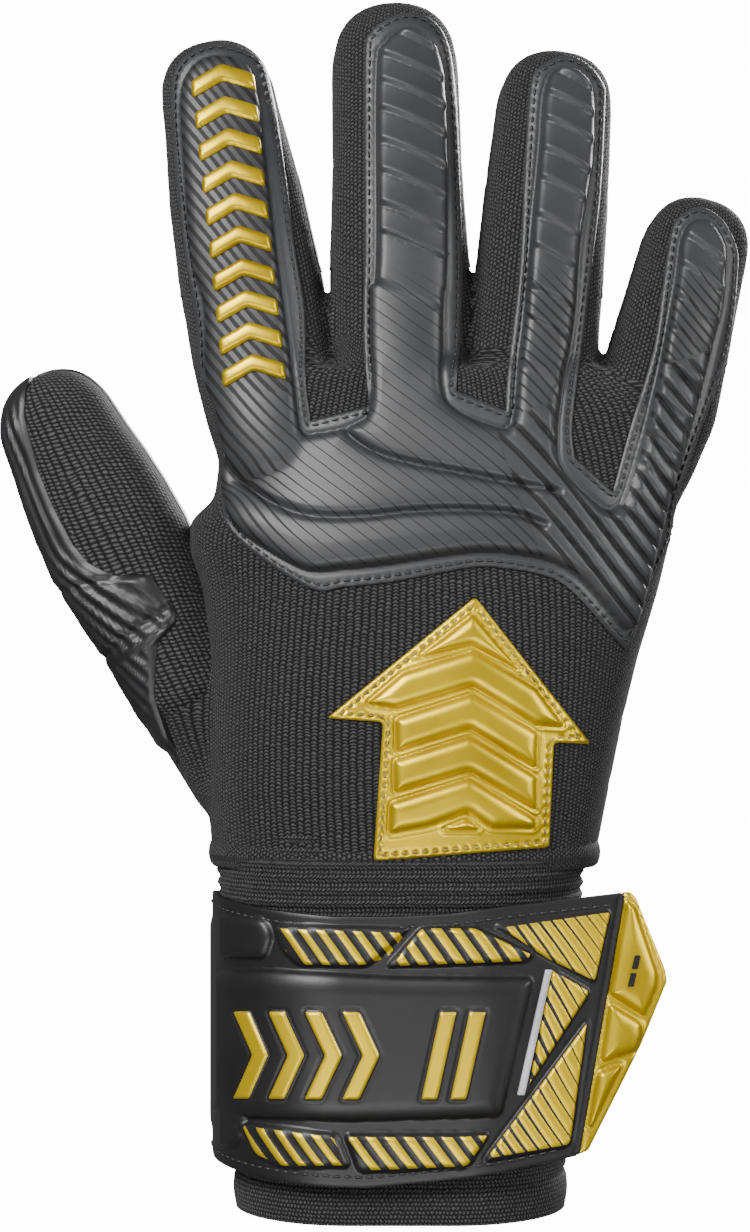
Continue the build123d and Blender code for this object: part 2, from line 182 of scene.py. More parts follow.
# ---------------------------------------------------------------- mesh helpers
def make_object(name, verts, faces, normals=None, sharp_rim=None, attributes=None, materials=()):
    """A mesh object from millimetre arrays, with optional vertex normals and vector attributes."""
    mesh = bpy.data.meshes.new(name)
    mesh.from_pydata((np.asarray(verts) * 0.001).tolist(), [], [tuple(int(i) for i in f) for f in faces])
    mesh.validate()
    mesh.polygons.foreach_set("use_smooth", [True] * len(mesh.polygons))
    for key, values in {**(attributes or {}), "place": verts}.items():
        layer = mesh.attributes.new(key, "FLOAT_VECTOR", "POINT")
        layer.data.foreach_set("vector", np.asarray(values, np.float32).ravel())
    if normals is not None:
        loop_vertex = np.zeros(len(mesh.loops), np.int64)
        mesh.loops.foreach_get("vertex_index", loop_vertex)
        loop_normals = np.asarray(normals)[loop_vertex]
        if sharp_rim is not None:
            starts = np.zeros(len(mesh.polygons), np.int64)
            totals = np.zeros(len(mesh.polygons), np.int64)
            flat = np.zeros(len(mesh.polygons) * 3)
            mesh.polygons.foreach_get("loop_start", starts)
            mesh.polygons.foreach_get("loop_total", totals)
            mesh.polygons.foreach_get("normal", flat)
            flat = flat.reshape(-1, 3)
            for i in range(sharp_rim, len(mesh.polygons)):
                loop_normals[starts[i]:starts[i] + totals[i]] = flat[i]
        mesh.normals_split_custom_set(loop_normals.tolist())
    mesh.update()
    obj = bpy.data.objects.new(name, mesh)
    bpy.context.scene.collection.objects.link(obj)
    for material in materials:
        mesh.materials.append(material)
    return obj


def boundary_edges(faces):
    """Directed edges that only one face uses."""
    seen_edges = {}
    for f in faces:
        for i in range(len(f)):
            a, b = f[i], f[(i + 1) % len(f)]
            seen_edges[(a, b)] = True
    return [(a, b) for (a, b) in seen_edges if (b, a) not in seen_edges]


def shell(name, outer, inner, faces, normals, attributes, material):
    """A closed piece from matching outer and inner vertices and the outer faces, walled round its rim."""
    n = len(outer)
    both = np.vstack([outer, inner])
    all_faces = [tuple(f) for f in faces] + [tuple(i + n for i in reversed(f)) for f in faces]
    rim_start = len(all_faces)
    all_faces += [(b, a, a + n, b + n) for a, b in boundary_edges(faces)]
    both_normals = np.vstack([normals, -normals])
    values = {k: np.vstack([v, v]) for k, v in attributes.items()}
    return make_object(name, both, all_faces, both_normals, rim_start, values, (material,))


def grid_faces(rows, cols, closed=False):
    """Quads of a rows by cols grid of vertices; closed joins the last column to the first."""
    faces = []
    for r in range(rows - 1):
        for c in range(cols if closed else cols - 1):
            d = (c + 1) % cols
            faces.append((r * cols + c, r * cols + d, (r + 1) * cols + d, (r + 1) * cols + c))
    return faces


def tube_faces(rings, sides):
    """Faces of a tube made of rings of vertices, with both ends capped."""
    last = (rings - 1) * sides
    caps = [tuple(reversed(range(sides))), tuple(range(last, last + sides))]
    return grid_faces(rings, sides, closed=True) + caps


def vertex_normals(verts, faces):
    """Area-weighted normals of a mesh of triangles or quads."""
    total = np.zeros_like(verts)
    for size in (3, 4):
        f = np.array([x for x in faces if len(x) == size])
        if len(f) == 0:
            continue
        a = verts[f[:, 0]]
        n = np.cross(verts[f[:, 1]] - a, verts[f[:, 2]] - a)
        if size == 4:
            n = np.cross(verts[f[:, 2]] - a, verts[f[:, 3]] - verts[f[:, 1]])
        for k in range(size):
            np.add.at(total, f[:, k], n)
    for f in faces:
        if len(f) > 4:
            n = np.cross(verts[f[1]] - verts[f[0]], verts[f[2]] - verts[f[0]])
            total[list(f)] += n
    return unit(total + 1e-12)


# ---------------------------------------------------------------- node materials
def new_material(name):
    """An empty node material with a Principled shader."""
    material = bpy.data.materials.new(name)
    material.use_nodes = True
    tree = material.node_tree
    tree.nodes.clear()
    shader = tree.nodes.new("ShaderNodeBsdfPrincipled")
    output = tree.nodes.new("ShaderNodeOutputMaterial")
    tree.links.new(shader.outputs[0], output.inputs[0])
    return material, tree, shader


class Net:
    """Short forms for building a node tree."""

    def __init__(self, tree):
        self.tree = tree

    def node(self, kind, **settings):
        """A new node with some of its properties set."""
        made = self.tree.nodes.new(kind)
        for key, value in settings.items():
            setattr(made, key, value)
        return made

    def feed(self, socket, value):
        """Links an output to an input, or sets the input to a value."""
        if isinstance(value, bpy.types.NodeSocket):
            self.tree.links.new(value, socket)
        else:
            socket.default_value = value

    def math(self, operation, a, b=0.0, c=0.0):
        """The result of a math node."""
        made = self.node("ShaderNodeMath", operation=operation)
        for socket, value in zip(made.inputs, (a, b, c)):
            self.feed(socket, value)
        return made.outputs[0]

    def attribute(self, name):
        """A vector attribute and its three components."""
        made = self.node("ShaderNodeAttribute", attribute_name=name)
        split = self.node("ShaderNodeSeparateXYZ")
        self.tree.links.new(made.outputs["Vector"], split.inputs[0])
        return made.outputs["Vector"], split.outputs[0], split.outputs[1], split.outputs[2]

    def noise(self, vector, scale, detail=2.0, roughness=0.5):
        """Noise from 0 to 1."""
        made = self.node("ShaderNodeTexNoise")
        self.feed(made.inputs["Vector"], vector)
        made.inputs["Scale"].default_value = scale
        made.inputs["Detail"].default_value = detail
        made.inputs["Roughness"].default_value = roughness
        return made.outputs["Fac"]

    def ramp(self, factor, low, high, low_color, high_color):
        """A colour that goes from one to another between two factors."""
        made = self.node("ShaderNodeValToRGB")
        self.feed(made.inputs[0], factor)
        ends = made.color_ramp.elements
        ends[0].position, ends[1].position = low, high
        ends[0].color = (*low_color, 1)
        ends[1].color = (*high_color, 1)
        return made.outputs[0]

    def mix(self, factor, a, b):
        """Two colours mixed."""
        made = self.node("ShaderNodeMix", data_type="RGBA")
        self.feed(made.inputs[0], factor)
        self.feed(made.inputs[6], a if isinstance(a, bpy.types.NodeSocket) else (*a, 1))
        self.feed(made.inputs[7], b if isinstance(b, bpy.types.NodeSocket) else (*b, 1))
        return made.outputs[2]

    def bump(self, height, strength, distance):
        """A normal that a height tilts."""
        made = self.node("ShaderNodeBump")
        self.feed(made.inputs["Height"], height)
        made.inputs["Strength"].default_value = strength
        made.inputs["Distance"].default_value = distance
        return made.outputs[0]


def knit_material(name, dark, light, column, row, slant, depth, rough=0.8, one_way=False):
    """Knitted cloth: columns of V stitches, or of single dashes, in the weave coordinates, in millimetres."""
    material, tree, shader = new_material(name)
    net = Net(tree)
    vector, across, along, _ = net.attribute("weave")
    wobble = net.math("MULTIPLY", net.noise(vector, 0.35, 2.0), 1.4)
    x = net.math("DIVIDE", net.math("ADD", across, net.math("MULTIPLY", wobble, 0.35)), column)
    fraction = net.math("SUBTRACT", net.math("FRACT", x), 0.5)
    off = net.math("ABSOLUTE", fraction)
    parity = net.math("FRACT", net.math("MULTIPLY", net.math("FLOOR", x), 0.5))
    z = net.math("DIVIDE", net.math("ADD", along, wobble), row)
    z = net.math("ADD", z, net.math("MULTIPLY", fraction if one_way else off, slant))
    z = net.math("ADD", z, parity)
    wave = net.math("MULTIPLY_ADD", net.math("SINE", net.math("MULTIPLY", z, 2 * math.pi)), 0.5, 0.5)
    profile = net.math("COSINE", net.math("MULTIPLY", fraction, math.pi))
    height = net.math("MULTIPLY", net.math("POWER", profile, 0.7), net.math("MULTIPLY_ADD", wave, 0.75, 0.25))
    fuzz = net.noise(vector, 2.4, 3.0, 0.7)
    fleck = net.noise(vector, 0.9, 2.0, 0.6)
    grain = net.math("MULTIPLY", height, net.math("MULTIPLY_ADD", fuzz, 1.3, 0.3))
    grain = net.math("MULTIPLY", grain, net.math("MULTIPLY_ADD", fleck, 1.1, 0.45))
    tree.links.new(net.ramp(grain, 0.22, 0.95, dark, light), shader.inputs["Base Color"])
    tree.links.new(net.bump(grain, 0.9, depth * 0.001), shader.inputs["Normal"])
    shader.inputs["Roughness"].default_value = rough
    shader.inputs["Specular IOR Level"].default_value = 0.18
    shader.inputs["Sheen Weight"].default_value = 0.04
    shader.inputs["Sheen Roughness"].default_value = 0.5
    return material


def printed_mask(net):
    """1 where the printed bars are: print holds the bars' phase, their share of it and the field's depth."""
    _, phase, share, field = net.attribute("print")
    tooth = net.math("ABSOLUTE", net.math("SUBTRACT", net.math("FRACT", phase), 0.5))
    bar = net.math("LESS_THAN", tooth, net.math("MULTIPLY", share, 0.5))
    return net.math("MULTIPLY", bar, net.math("GREATER_THAN", field, 0.0))


def rubber_material(name, dark, light, rough, grain=2.0, depth=0.03, print_color=None,
                    print_metal=0.0, print_rough=0.0):
    """Moulded latex or rubber: a little mottled, finely grained, with printed bars where asked."""
    material, tree, shader = new_material(name)
    net = Net(tree)
    place = net.attribute("place")[0]
    color = net.ramp(net.noise(place, 0.06, 3.0), 0.3, 0.75, dark, light)
    fine = net.noise(place, grain, 3.0, 0.65)
    roughness = net.math("MULTIPLY_ADD", fine, 0.18, rough - 0.09)
    if print_color is not None:
        mask = printed_mask(net)
        color = net.mix(mask, color, print_color)
        roughness = net.math("MULTIPLY_ADD", mask, print_rough, roughness)
        if print_metal:
            tree.links.new(net.math("MULTIPLY", mask, print_metal), shader.inputs["Metallic"])
    tree.links.new(color, shader.inputs["Base Color"])
    tree.links.new(roughness, shader.inputs["Roughness"])
    tree.links.new(net.bump(fine, 0.5, depth * 0.001), shader.inputs["Normal"])
    shader.inputs["Specular IOR Level"].default_value = 0.38
    return material


def gold_material():
    """Satin gold foil over foam."""
    material, tree, shader = new_material("gold_foil")
    net = Net(tree)
    place = net.attribute("place")[0]
    cloud = net.noise(place, 0.06, 2.0)
    fine = net.noise(place, 3.2, 2.0, 0.6)
    tree.links.new(net.ramp(cloud, 0.3, 0.7, GOLD_DARK, GOLD), shader.inputs["Base Color"])
    tree.links.new(net.math("MULTIPLY_ADD", fine, 0.14, 0.30), shader.inputs["Roughness"])
    tree.links.new(net.bump(fine, 0.3, 0.00004), shader.inputs["Normal"])
    shader.inputs["Metallic"].default_value = 0.75
    return material


def patch_material(name, color, pitch, depth):
    """The hook or the loop half of the closure: rows of small bristles."""
    material, tree, shader = new_material(name)
    net = Net(tree)
    coordinates = net.node("ShaderNodeTexCoord").outputs["Object"]
    cells = net.node("ShaderNodeTexVoronoi")
    net.feed(cells.inputs["Vector"], coordinates)
    cells.inputs["Scale"].default_value = 1000 / pitch
    tree.links.new(net.ramp(cells.outputs["Distance"], 0.1, 0.7, color, tuple(c * 0.3 for c in color)),
                   shader.inputs["Base Color"])
    tree.links.new(net.bump(net.math("SUBTRACT", 1.0, cells.outputs["Distance"]), 1.0, depth * 0.001),
                   shader.inputs["Normal"])
    shader.inputs["Roughness"].default_value = 0.7
    return material


GOLD_DARK, GOLD = (0.37, 0.245, 0.0), (0.55, 0.385, 0.001)
KNIT_DARK, KNIT_LIGHT = (0.0006, 0.0006, 0.0007), (0.050, 0.050, 0.052)
PAD_BLACK = (0.018, 0.0185, 0.0197)
MATERIALS = {
    "knit_hand": knit_material("knit_hand", KNIT_DARK, KNIT_LIGHT, 1.08, 0.78, 0.8, 0.45),
    "knit_finger": knit_material("knit_finger", KNIT_DARK, KNIT_LIGHT, 0.95, 0.95, 0.9, 0.35),
    "knit_thumb": knit_material("knit_thumb", KNIT_DARK, (0.058, 0.058, 0.060), 1.5, 0.95, 0.45, 0.35,
                                one_way=True),
    "knit_band": knit_material("knit_band", KNIT_DARK, KNIT_LIGHT, 0.9, 0.85, 0.6, 0.3),
    "pad": rubber_material("printed_latex", PAD_BLACK, (0.026, 0.0265, 0.028), 0.45,
                           print_color=(0.0012, 0.0012, 0.0013), print_rough=0.25),
    "pad_plain": rubber_material("moulded_latex", (0.006, 0.006, 0.0065), (0.011, 0.011, 0.012), 0.42),
    "palm": rubber_material("palm_foam", (0.008, 0.008, 0.0085), (0.014, 0.014, 0.015), 0.72, 1.6, 0.10),
    "strap": rubber_material("strap_rubber", (0.004, 0.004, 0.0043), (0.007, 0.007, 0.0075), 0.42,
                             print_color=GOLD, print_metal=0.7),
    "backing": rubber_material("strap_backing", (0.004, 0.004, 0.0043), (0.008, 0.008, 0.0085), 0.8, 1.2, 0.15),
    "thread": rubber_material("thread", (0.008, 0.008, 0.0085), (0.02, 0.02, 0.021), 0.5, 4.0, 0.05),
    "gold": gold_material(),
    "gold_thread": rubber_material("gold_thread", (0.020, 0.014, 0.003), (0.30, 0.22, 0.06), 0.5, 4.0, 0.05),
    "strip": rubber_material("grey_strip", (0.28, 0.28, 0.30), (0.42, 0.42, 0.44), 0.35, 1.0, 0.02),
    "loop": patch_material("loop_pile", (0.03, 0.03, 0.032), 0.7, 0.4),
    "hook": patch_material("hook_bristle", (0.05, 0.05, 0.052), 1.1, 0.5),
}


# ---------------------------------------------------------------- digits
JOINTS = {joint["name"]: joint for joint in frame["joints"]}
HINGE_OFFSET = 2.0       # flex lines lie this far palmward of a digit's middle, mm
HAND_POWER, DIGIT_POWER = 0.80, 0.86     # how square the sections are: 1 is an ellipse
DOME_POWER = 2.3         # how blunt the tips are: 2 is an ellipse
ROOT_BLEND = (3.0, 20.0)


def superellipse(angle, power):
    """Cosine and sine of an angle squared up into a rounder-cornered oval."""
    c, s = math.cos(angle), math.sin(angle)
    return math.copysign(abs(c) ** power, c), math.copysign(abs(s) ** power, s)


def tip_share(s, base, dome):
    """How much of a digit's section is left at distance s, where its dome starts at base."""
    return (1 - (max(0.0, s - base) / dome) ** DOME_POWER) ** (1 / DOME_POWER)


class Digit:
    """A finger or the thumb: its curved centre line and its section, in millimetres."""

    def __init__(self, name, length, bend, widths, depths, knuckle):
        root, mid = JOINTS[f"{name}_root_flex"], JOINTS[f"{name}_middle_flex"]
        self.name = name
        self.u = -unit(root["axis"])
        start = np.array(root["pos_m"]) * 1000
        middle = np.array(mid["pos_m"]) * 1000
        self.mid = float(np.linalg.norm(middle - start))
        self.w0 = unit(middle - start)
        self.v0 = np.cross(self.w0, self.u)
        self.length = length
        self.widths, self.depths = widths, depths
        self.ring = knuckle
        s = np.arange(-30.0, length + 1.0, 0.5)
        angle = math.radians(bend) * smooth(s, self.mid - 8, self.mid + 8)
        direction = np.cos(angle)[:, None] * self.w0 + np.sin(angle)[:, None] * self.v0
        path = np.cumsum(direction, axis=0) * 0.5
        origin = start - HINGE_OFFSET * self.v0
        at_zero = path[np.argmin(np.abs(s))]
        self.s, self.path, self.direction = s, path - at_zero + origin, direction

    def at(self, s):
        """Centre and direction at each distance s from the root."""
        s = np.asarray(s, float)
        centre = np.stack([np.interp(s, self.s, self.path[:, k]) for k in range(3)], axis=-1)
        w = np.stack([np.interp(s, self.s, self.direction[:, k]) for k in range(3)], axis=-1)
        return centre, unit(w)

    def half_width(self, s):
        """Half the width at distance s from the root."""
        return np.interp(s, [k[0] for k in self.widths], [k[1] for k in self.widths])

    def half_depth(self, s):
        """Half the thickness at distance s from the root."""
        return np.interp(s, [k[0] for k in self.depths], [k[1] for k in self.depths])

    def local(self, points):
        """(s, t, n) of points: along, across and palmward."""
        s = (points - self.at(0.0)[0]) @ self.w0
        for _ in range(2):
            centre, w = self.at(s)
            s = s + ((points - centre) * w).sum(axis=1)
        centre, w = self.at(s)
        v = np.cross(w, self.u)
        rel = points - centre
        return s, rel @ self.u, (rel * v).sum(axis=1)

    def tube(self, start, step=1.5, sides=48, end=None, inset=0.0):
        """A closed tube with a domed end, as vertices and faces."""
        length = self.length if end is None else end
        dome = self.half_width(length) - inset
        base = length - dome
        rings = list(np.arange(start, base, step)) + [base + dome * math.sin(a) for a in np.linspace(0, 1.50, 9)]
        verts = []
        for s in rings:
            centre, w = self.at(s)
            v = np.cross(w, self.u)
            shrink = tip_share(s, base, dome)
            half_w, half_d = (self.half_width(s) - inset) * shrink, (self.half_depth(s) - inset) * shrink
            for k in range(sides):
                c, d = superellipse(2 * math.pi * k / sides, DIGIT_POWER)
                verts.append(centre + c * half_w * self.u + d * half_d * v)
        return np.array(verts), tube_faces(len(rings), sides)


FINGERS = [
    Digit("index", 76.0, 9.0, [(-24, 13.0), (-10, 14.8), (0, 15.4), (18, 15.4), (40, 14.6), (60, 12.6), (76, 12.2)],
          [(-12, 15.0), (0, 13.9), (14, 13.0), (40, 12.6), (76, 10.6)], 19.0),
    Digit("middle", 81.5, 9.0, [(0, 15.0), (18, 15.0), (45, 14.0), (66, 13.9), (81, 13.6)],
          [(-12, 15.6), (0, 14.5), (14, 13.7), (40, 13.2), (81, 11.0)], 20.0),
    Digit("ring", 74.6, 9.0, [(0, 14.2), (18, 13.8), (40, 13.5), (60, 12.7), (75, 12.6)],
          [(-12, 15.0), (0, 13.9), (14, 13.1), (40, 12.6), (75, 10.6)], 19.0),
    Digit("little", 49.5, 9.0, [(-24, 9.0), (-12, 11.8), (0, 13.6), (10, 13.0), (25, 12.2), (40, 11.6), (50, 11.4)],
          [(0, 12.4), (25, 11.6), (50, 10.0)], 14.5),
]

THUMB = Digit("thumb", 78.5, 4.0,
              [(-24, 11.0), (0, 12.6), (15, 13.4), (25, 14.6), (36, 15.6), (45, 15.2), (53, 14.3),
               (60, 13.1), (72, 11.6)],
              [(0, 12.5), (40, 11.8), (78, 9.6)], 28.6)

# Hand sections from wrist to knuckles: z, thumb-side x, little-finger-side x, back y, palm y.
HAND_SECTIONS = [
    (76.5, -40.4, 43.2, -25.9, 25.9),
    (92.0, -41.6, 46.2, -26.8, 27.0),
    (106.0, -41.6, 49.0, -26.8, 27.5),
    (120.0, -41.4, 52.4, -26.2, 27.0),
    (135.0, -43.0, 57.0, -24.8, 25.5),
    (144.0, -46.0, 59.2, -23.4, 24.0),
    (149.5, -45.8, 60.3, -22.5, 23.1),
    (154.5, -40.2, 61.5, -21.4, 22.0),
    (164.0, -39.0, 63.8, -19.3, 20.0),
    (174.0, -40.2, 66.4, -17.0, 17.5),
    (184.0, -41.0, 52.0, -14.9, 15.0),
]


def hand_loft(sides=96):
    """The palm and back of the hand as a closed loft through HAND_SECTIONS."""
    zs = np.arange(HAND_SECTIONS[0][0], HAND_SECTIONS[-1][0] + 0.1, 1.5)
    table = np.array(HAND_SECTIONS)
    verts = []
    for z in zs:
        x0, x1, back, palm = (np.interp(z, table[:, 0], table[:, k]) for k in range(1, 5))
        for k in range(sides):
            c, s = superellipse(2 * math.pi * k / sides, HAND_POWER)
            verts.append((c * (x1 - x0) / 2 + (x0 + x1) / 2, s * (palm - back) / 2 + (palm + back) / 2, z))
    return np.array(verts), tube_faces(len(zs), sides)


VOXEL = 1.2
TUBE_START = -24.0       # the digits' tubes start this far inside the hand
THUMB_STUB = 10.0        # the hand's skin follows the thumb this far past its root, under the thumb's own skin


def fused_glove():
    """The hand, the fingers and the thumb's stub as one smooth closed skin."""
    parts = [hand_loft()] + [digit.tube(TUBE_START) for digit in FINGERS]
    parts.append(THUMB.tube(TUBE_START, end=THUMB_STUB, inset=0.9))
    verts, faces = [], []
    for v, f in parts:
        offset = sum(len(x) for x in verts)
        verts.append(v)
        faces += [tuple(i + offset for i in face) for face in f]
    obj = make_object("fused", np.vstack(verts), faces)
    remesh = obj.modifiers.new("remesh", "REMESH")
    remesh.mode = "VOXEL"
    remesh.voxel_size = VOXEL * 0.001
    relax = obj.modifiers.new("relax", "SMOOTH")
    relax.factor = 0.5
    relax.iterations = 12
    depsgraph = bpy.context.evaluated_depsgraph_get()
    mesh = bpy.data.meshes.new_from_object(obj.evaluated_get(depsgraph))
    bpy.data.objects.remove(obj)
    return mesh


GLOVE = fused_glove()
work = bmesh.new()
work.from_mesh(GLOVE)
TREE = BVHTree.FromBMesh(work)
work.free()


def cast_front(points):
    """Carries front coordinates (x, z) onto the glove: surface points and normals in millimetres."""
    out, normals = [], []
    eye = Vector(EYE * 0.001)
    for x, z in points:
        target = Vector((x * 0.001, 0, z * 0.001))
        hit, normal, _, _ = TREE.ray_cast(eye, (target - eye).normalized())
        if hit is None:
            hit, normal, _, _ = TREE.find_nearest(target)
        out.append(tuple(hit))
        normals.append(tuple(normal))
    return np.array(out) * 1000, unit(np.array(normals))


# ---------------------------------------------------------------- camera, light, backdrop
def stage():
    """The camera, the lamps and the white surroundings."""
    scene = bpy.context.scene
    camera = bpy.data.objects.new("camera", bpy.data.cameras.new("camera"))
    scene.collection.objects.link(camera)
    camera.location = EYE * 0.001
    camera.rotation_euler = (math.radians(90), 0, 0)
    camera.data.sensor_fit = "VERTICAL"
    camera.data.angle = 2 * math.atan(FIELD_HEIGHT / 2 / -EYE[1])
    camera.data.clip_start = 0.01
    scene.camera = camera

    world = bpy.data.worlds.new("world")
    scene.world = world
    world.use_nodes = True
    background = world.node_tree.nodes["Background"]
    background.inputs[0].default_value = (1, 1, 1, 1)
    background.inputs[1].default_value = 0.22

    def lamp(name, place, target, power, size, size_y):
        """A rectangular lamp at a place, turned to a target."""
        data = bpy.data.lights.new(name, "AREA")
        data.energy, data.shape, data.size, data.size_y = power, "RECTANGLE", size, size_y
        obj = bpy.data.objects.new(name, data)
        scene.collection.objects.link(obj)
        obj.location = place
        obj.rotation_euler = (Vector(target) - Vector(place)).to_track_quat("-Z", "Y").to_euler()

    lamp("key", (-0.42, -0.62, 0.60), (0, 0, 0.13), 17.0, 0.50, 0.40)
    lamp("fill", (0.70, -0.45, 0.30), (0, 0, 0.12), 7.0, 0.25, 0.6)
    lamp("low", (-0.15, -0.7, -0.25), (0, 0, 0.10), 4.0, 0.6, 0.2)
    lamp("palm_side", (0.42, 0.75, 0.50), (0, 0, 0.12), 20.0, 0.5, 0.4)

    # A white globe round everything. It glows for the eye alone, so it does not wash the blacks out.
    bpy.ops.mesh.primitive_uv_sphere_add(radius=6.0, segments=48, ring_count=24)
    backdrop = bpy.context.object
    backdrop.name = "backdrop"
    material, _, shader = new_material("backdrop")
    shader.inputs["Base Color"].default_value = (0.9, 0.9, 0.9, 1)
    shader.inputs["Roughness"].default_value = 1.0
    shader.inputs["Emission Color"].default_value = (1, 1, 1, 1)
    shader.inputs["Emission Strength"].default_value = 14.0
    backdrop.data.materials.append(material)
    backdrop.visible_diffuse = False
    backdrop.visible_glossy = False
    backdrop.visible_shadow = False


stage()


# ---------------------------------------------------------------- parts that the pieces belong to
HAND, THUMB_LOWER, THUMB_UPPER = 0, 9, 10
DIGITS = FINGERS + [THUMB]
PART_NAMES = ["hand"] + [f"{digit.name}_{half}" for digit in DIGITS for half in ("lower", "upper")]


def owners(points):
    """Which part each surface point belongs to: 0 the hand, odd numbers finger roots, even ones tips."""
    best = np.full(len(points), 9.0)
    owner = np.zeros(len(points), int)
    for number, digit in enumerate(FINGERS):
        s, t, n = digit.local(points)
        closeness = np.abs(t) / digit.half_width(np.clip(s, 0, digit.length))
        mine = (s > ROOT_BLEND[0]) & (closeness < best) & (closeness < 1.35) & (np.abs(n) < 22)
        best[mine] = closeness[mine]
        owner[mine] = 1 + number * 2 + (s[mine] > digit.ring)
    return owner


def attach(obj, part):
    """Rides a hand piece on the palm body; a finger or thumb piece only has its transform baked into its mesh."""
    if part == HAND:
        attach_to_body(obj, "palm")
        return
    digit = DIGITS[(part - 1) // 2]
    if part % 2 == 1:
        start, end = digit.at(ROOT_BLEND[0])[0], digit.at(ROOT_BLEND[1])[0]
        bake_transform(obj)
    else:
        reach = min(11.0, digit.mid - digit.ring + 8)
        start, end = digit.at(max(digit.ring, digit.mid - reach))[0], digit.at(digit.mid + 12)[0]
        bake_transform(obj)


def node_of(part, kind):
    """The CAD node of a finger part."""
    return f"{DIGITS[(part - 1) // 2].name}_{'base' if part % 2 == 1 else 'tip'}_{kind}"


# ---------------------------------------------------------------- the fused skin, cut into pieces
SEAM_Y = 3.0             # the palm latex meets the knit here
LATEX_RISE = 1.1
SKIN = 1.6
PALM_CREASES = ((152.0, 0.16, 1.6), (122.0, -0.30, 1.6), (98.0, -0.12, 1.3))       # height, lean, width
PALM_CREASE, FINGER_CREASE = 1.3, 0.8        # depth
CREASE_GAP = 24          # from a finger's first crease to its second
HAND_GIRTH, FINGER_GIRTH, THUMB_GIRTH = 34.0, 13.0, 14.0      # radius that turns an angle into knit width


def cut_glove():
    """Splits the skin at the finger roots, the finger rings and the palm seam. Returns piece parts."""
    mesh = bmesh.new()
    mesh.from_mesh(GLOVE)
    label = mesh.faces.layers.int.new("part")

    def with_edges(faces):
        """The faces with their vertices and edges."""
        geometry = set(faces)
        for f in faces:
            geometry.update(f.verts)
            geometry.update(f.edges)
        return list(geometry)

    def slice_at(point, normal, width):
        """Cuts the faces near a point with a plane."""
        point, normal = Vector(point * 0.001), Vector(normal)
        chosen = []
        for f in mesh.faces:
            c = f.calc_center_median()
            if abs((c - point).dot(normal)) < 0.004 and (c - point).length < width * 0.001:
                chosen.append(f)
        bmesh.ops.bisect_plane(mesh, geom=with_edges(chosen), dist=1e-7, plane_co=point, plane_no=normal)

    for digit in FINGERS:
        for s in (ROOT_BLEND[0], digit.ring):
            centre, w = digit.at(s)
            slice_at(centre, w, 22.0)

    centres = np.array([tuple(f.calc_center_median()) for f in mesh.faces]) * 1000
    for f, value in zip(mesh.faces, owners(centres)):
        f[label] = int(value)

    planes = {HAND: (np.array([0, SEAM_Y, 100.0]), np.array([0, 1.0, 0]))}
    for number, digit in enumerate(FINGERS):
        for k, s in enumerate((10.0, digit.length - 10)):
            centre, w = digit.at(s)
            v = np.cross(w, digit.u)
            planes[1 + number * 2 + k] = (centre + v * 2.5, v)
    for value, (point, normal) in planes.items():
        faces = [f for f in mesh.faces if f[label] == value]
        bmesh.ops.bisect_plane(mesh, geom=with_edges(faces), dist=1e-7, plane_co=Vector(point * 0.001),
                               plane_no=Vector(normal))
    mesh.normal_update()
    verts = np.array([tuple(v.co) for v in mesh.verts]) * 1000
    normals = np.array([tuple(v.normal) for v in mesh.verts])
    mesh.verts.index_update()
    pieces = {}
    for f in mesh.faces:
        value = f[label]
        point, normal = planes[value]
        c = np.array(f.calc_center_median()) * 1000
        side = "latex" if (c - point) @ normal > 0 else "knit"
        if value == HAND and c[2] < HAND_SECTIONS[0][0] + 0.4 and abs(f.normal.z) > 0.8:
            continue
        pieces.setdefault((value, side), []).append([v.index for v in f.verts])
    mesh.free()
    return verts, normals, pieces, planes


def around(points):
    """Distance round the hand's section from the middle of its back, for the direction of the knit."""
    return np.arctan2(points[:, 0] - 8.0, -points[:, 1] * 1.9) * HAND_GIRTH


def flex_grooves(points):
    """Depth of the wide creases that run across the palm foam."""
    depth = np.zeros(len(points))
    for z, lean, width in PALM_CREASES:
        depth += PALM_CREASE * np.exp(-((points[:, 2] - z - lean * points[:, 0]) / width) ** 2)
    return depth


def skin_pieces():
    """The knit and latex pieces of the hand and the fingers, from the cut skin."""
    verts, normals, pieces, planes = cut_glove()
    for (value, side), faces in pieces.items():
        used = sorted(set(i for f in faces for i in f))
        index = {old: new for new, old in enumerate(used)}
        v, n = verts[used], normals[used]
        faces = [[index[i] for i in f] for f in faces]
        point, normal = planes[value]
        depth = np.abs((v - point) @ normal)
        rise = np.zeros(len(v))
        material = MATERIALS["knit_hand" if value == HAND else "knit_finger"]
        if side == "latex":
            rise = LATEX_RISE * np.sqrt(smooth(depth, -0.6, 1.8))
            if value == HAND:
                rise -= flex_grooves(v) * smooth(depth, 0, 6)
            else:
                digit = FINGERS[(value - 1) // 2]
                reach = digit.local(v)[0]
                for joint in (digit.ring, digit.ring + CREASE_GAP):
                    rise -= FINGER_CREASE * np.exp(-((reach - joint - 1.5) / 1.2) ** 2) * smooth(depth, 0, 4)
            material = MATERIALS["palm"]
        if value == HAND:
            weave = np.stack([around(v), v[:, 2], np.zeros(len(v))], axis=1)
        else:
            s, t, across = FINGERS[(value - 1) // 2].local(v)
            weave = np.stack([np.arctan2(t, -across) * FINGER_GIRTH, s, np.zeros(len(v))], axis=1)
        outer = v + n * rise[:, None]
        shading = n
        if side == "latex":
            shading = vertex_normals(outer, faces)
            rim = sorted(set(i for edge in boundary_edges(faces) for i in edge))
            shading[rim] = n[rim]
        obj = shell(f"{PART_NAMES[value]}_{side}", outer, v - n * SKIN, faces, shading, {"weave": weave}, material)
        attach(obj, value)
        if side == "latex":
            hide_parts(*(("palm_latex", "palm_lining") if value == HAND else (node_of(value, "palm_latex"),)))
        else:
            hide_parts("back_of_hand_mesh" if value == HAND else node_of(value, "gusset"))


skin_pieces()


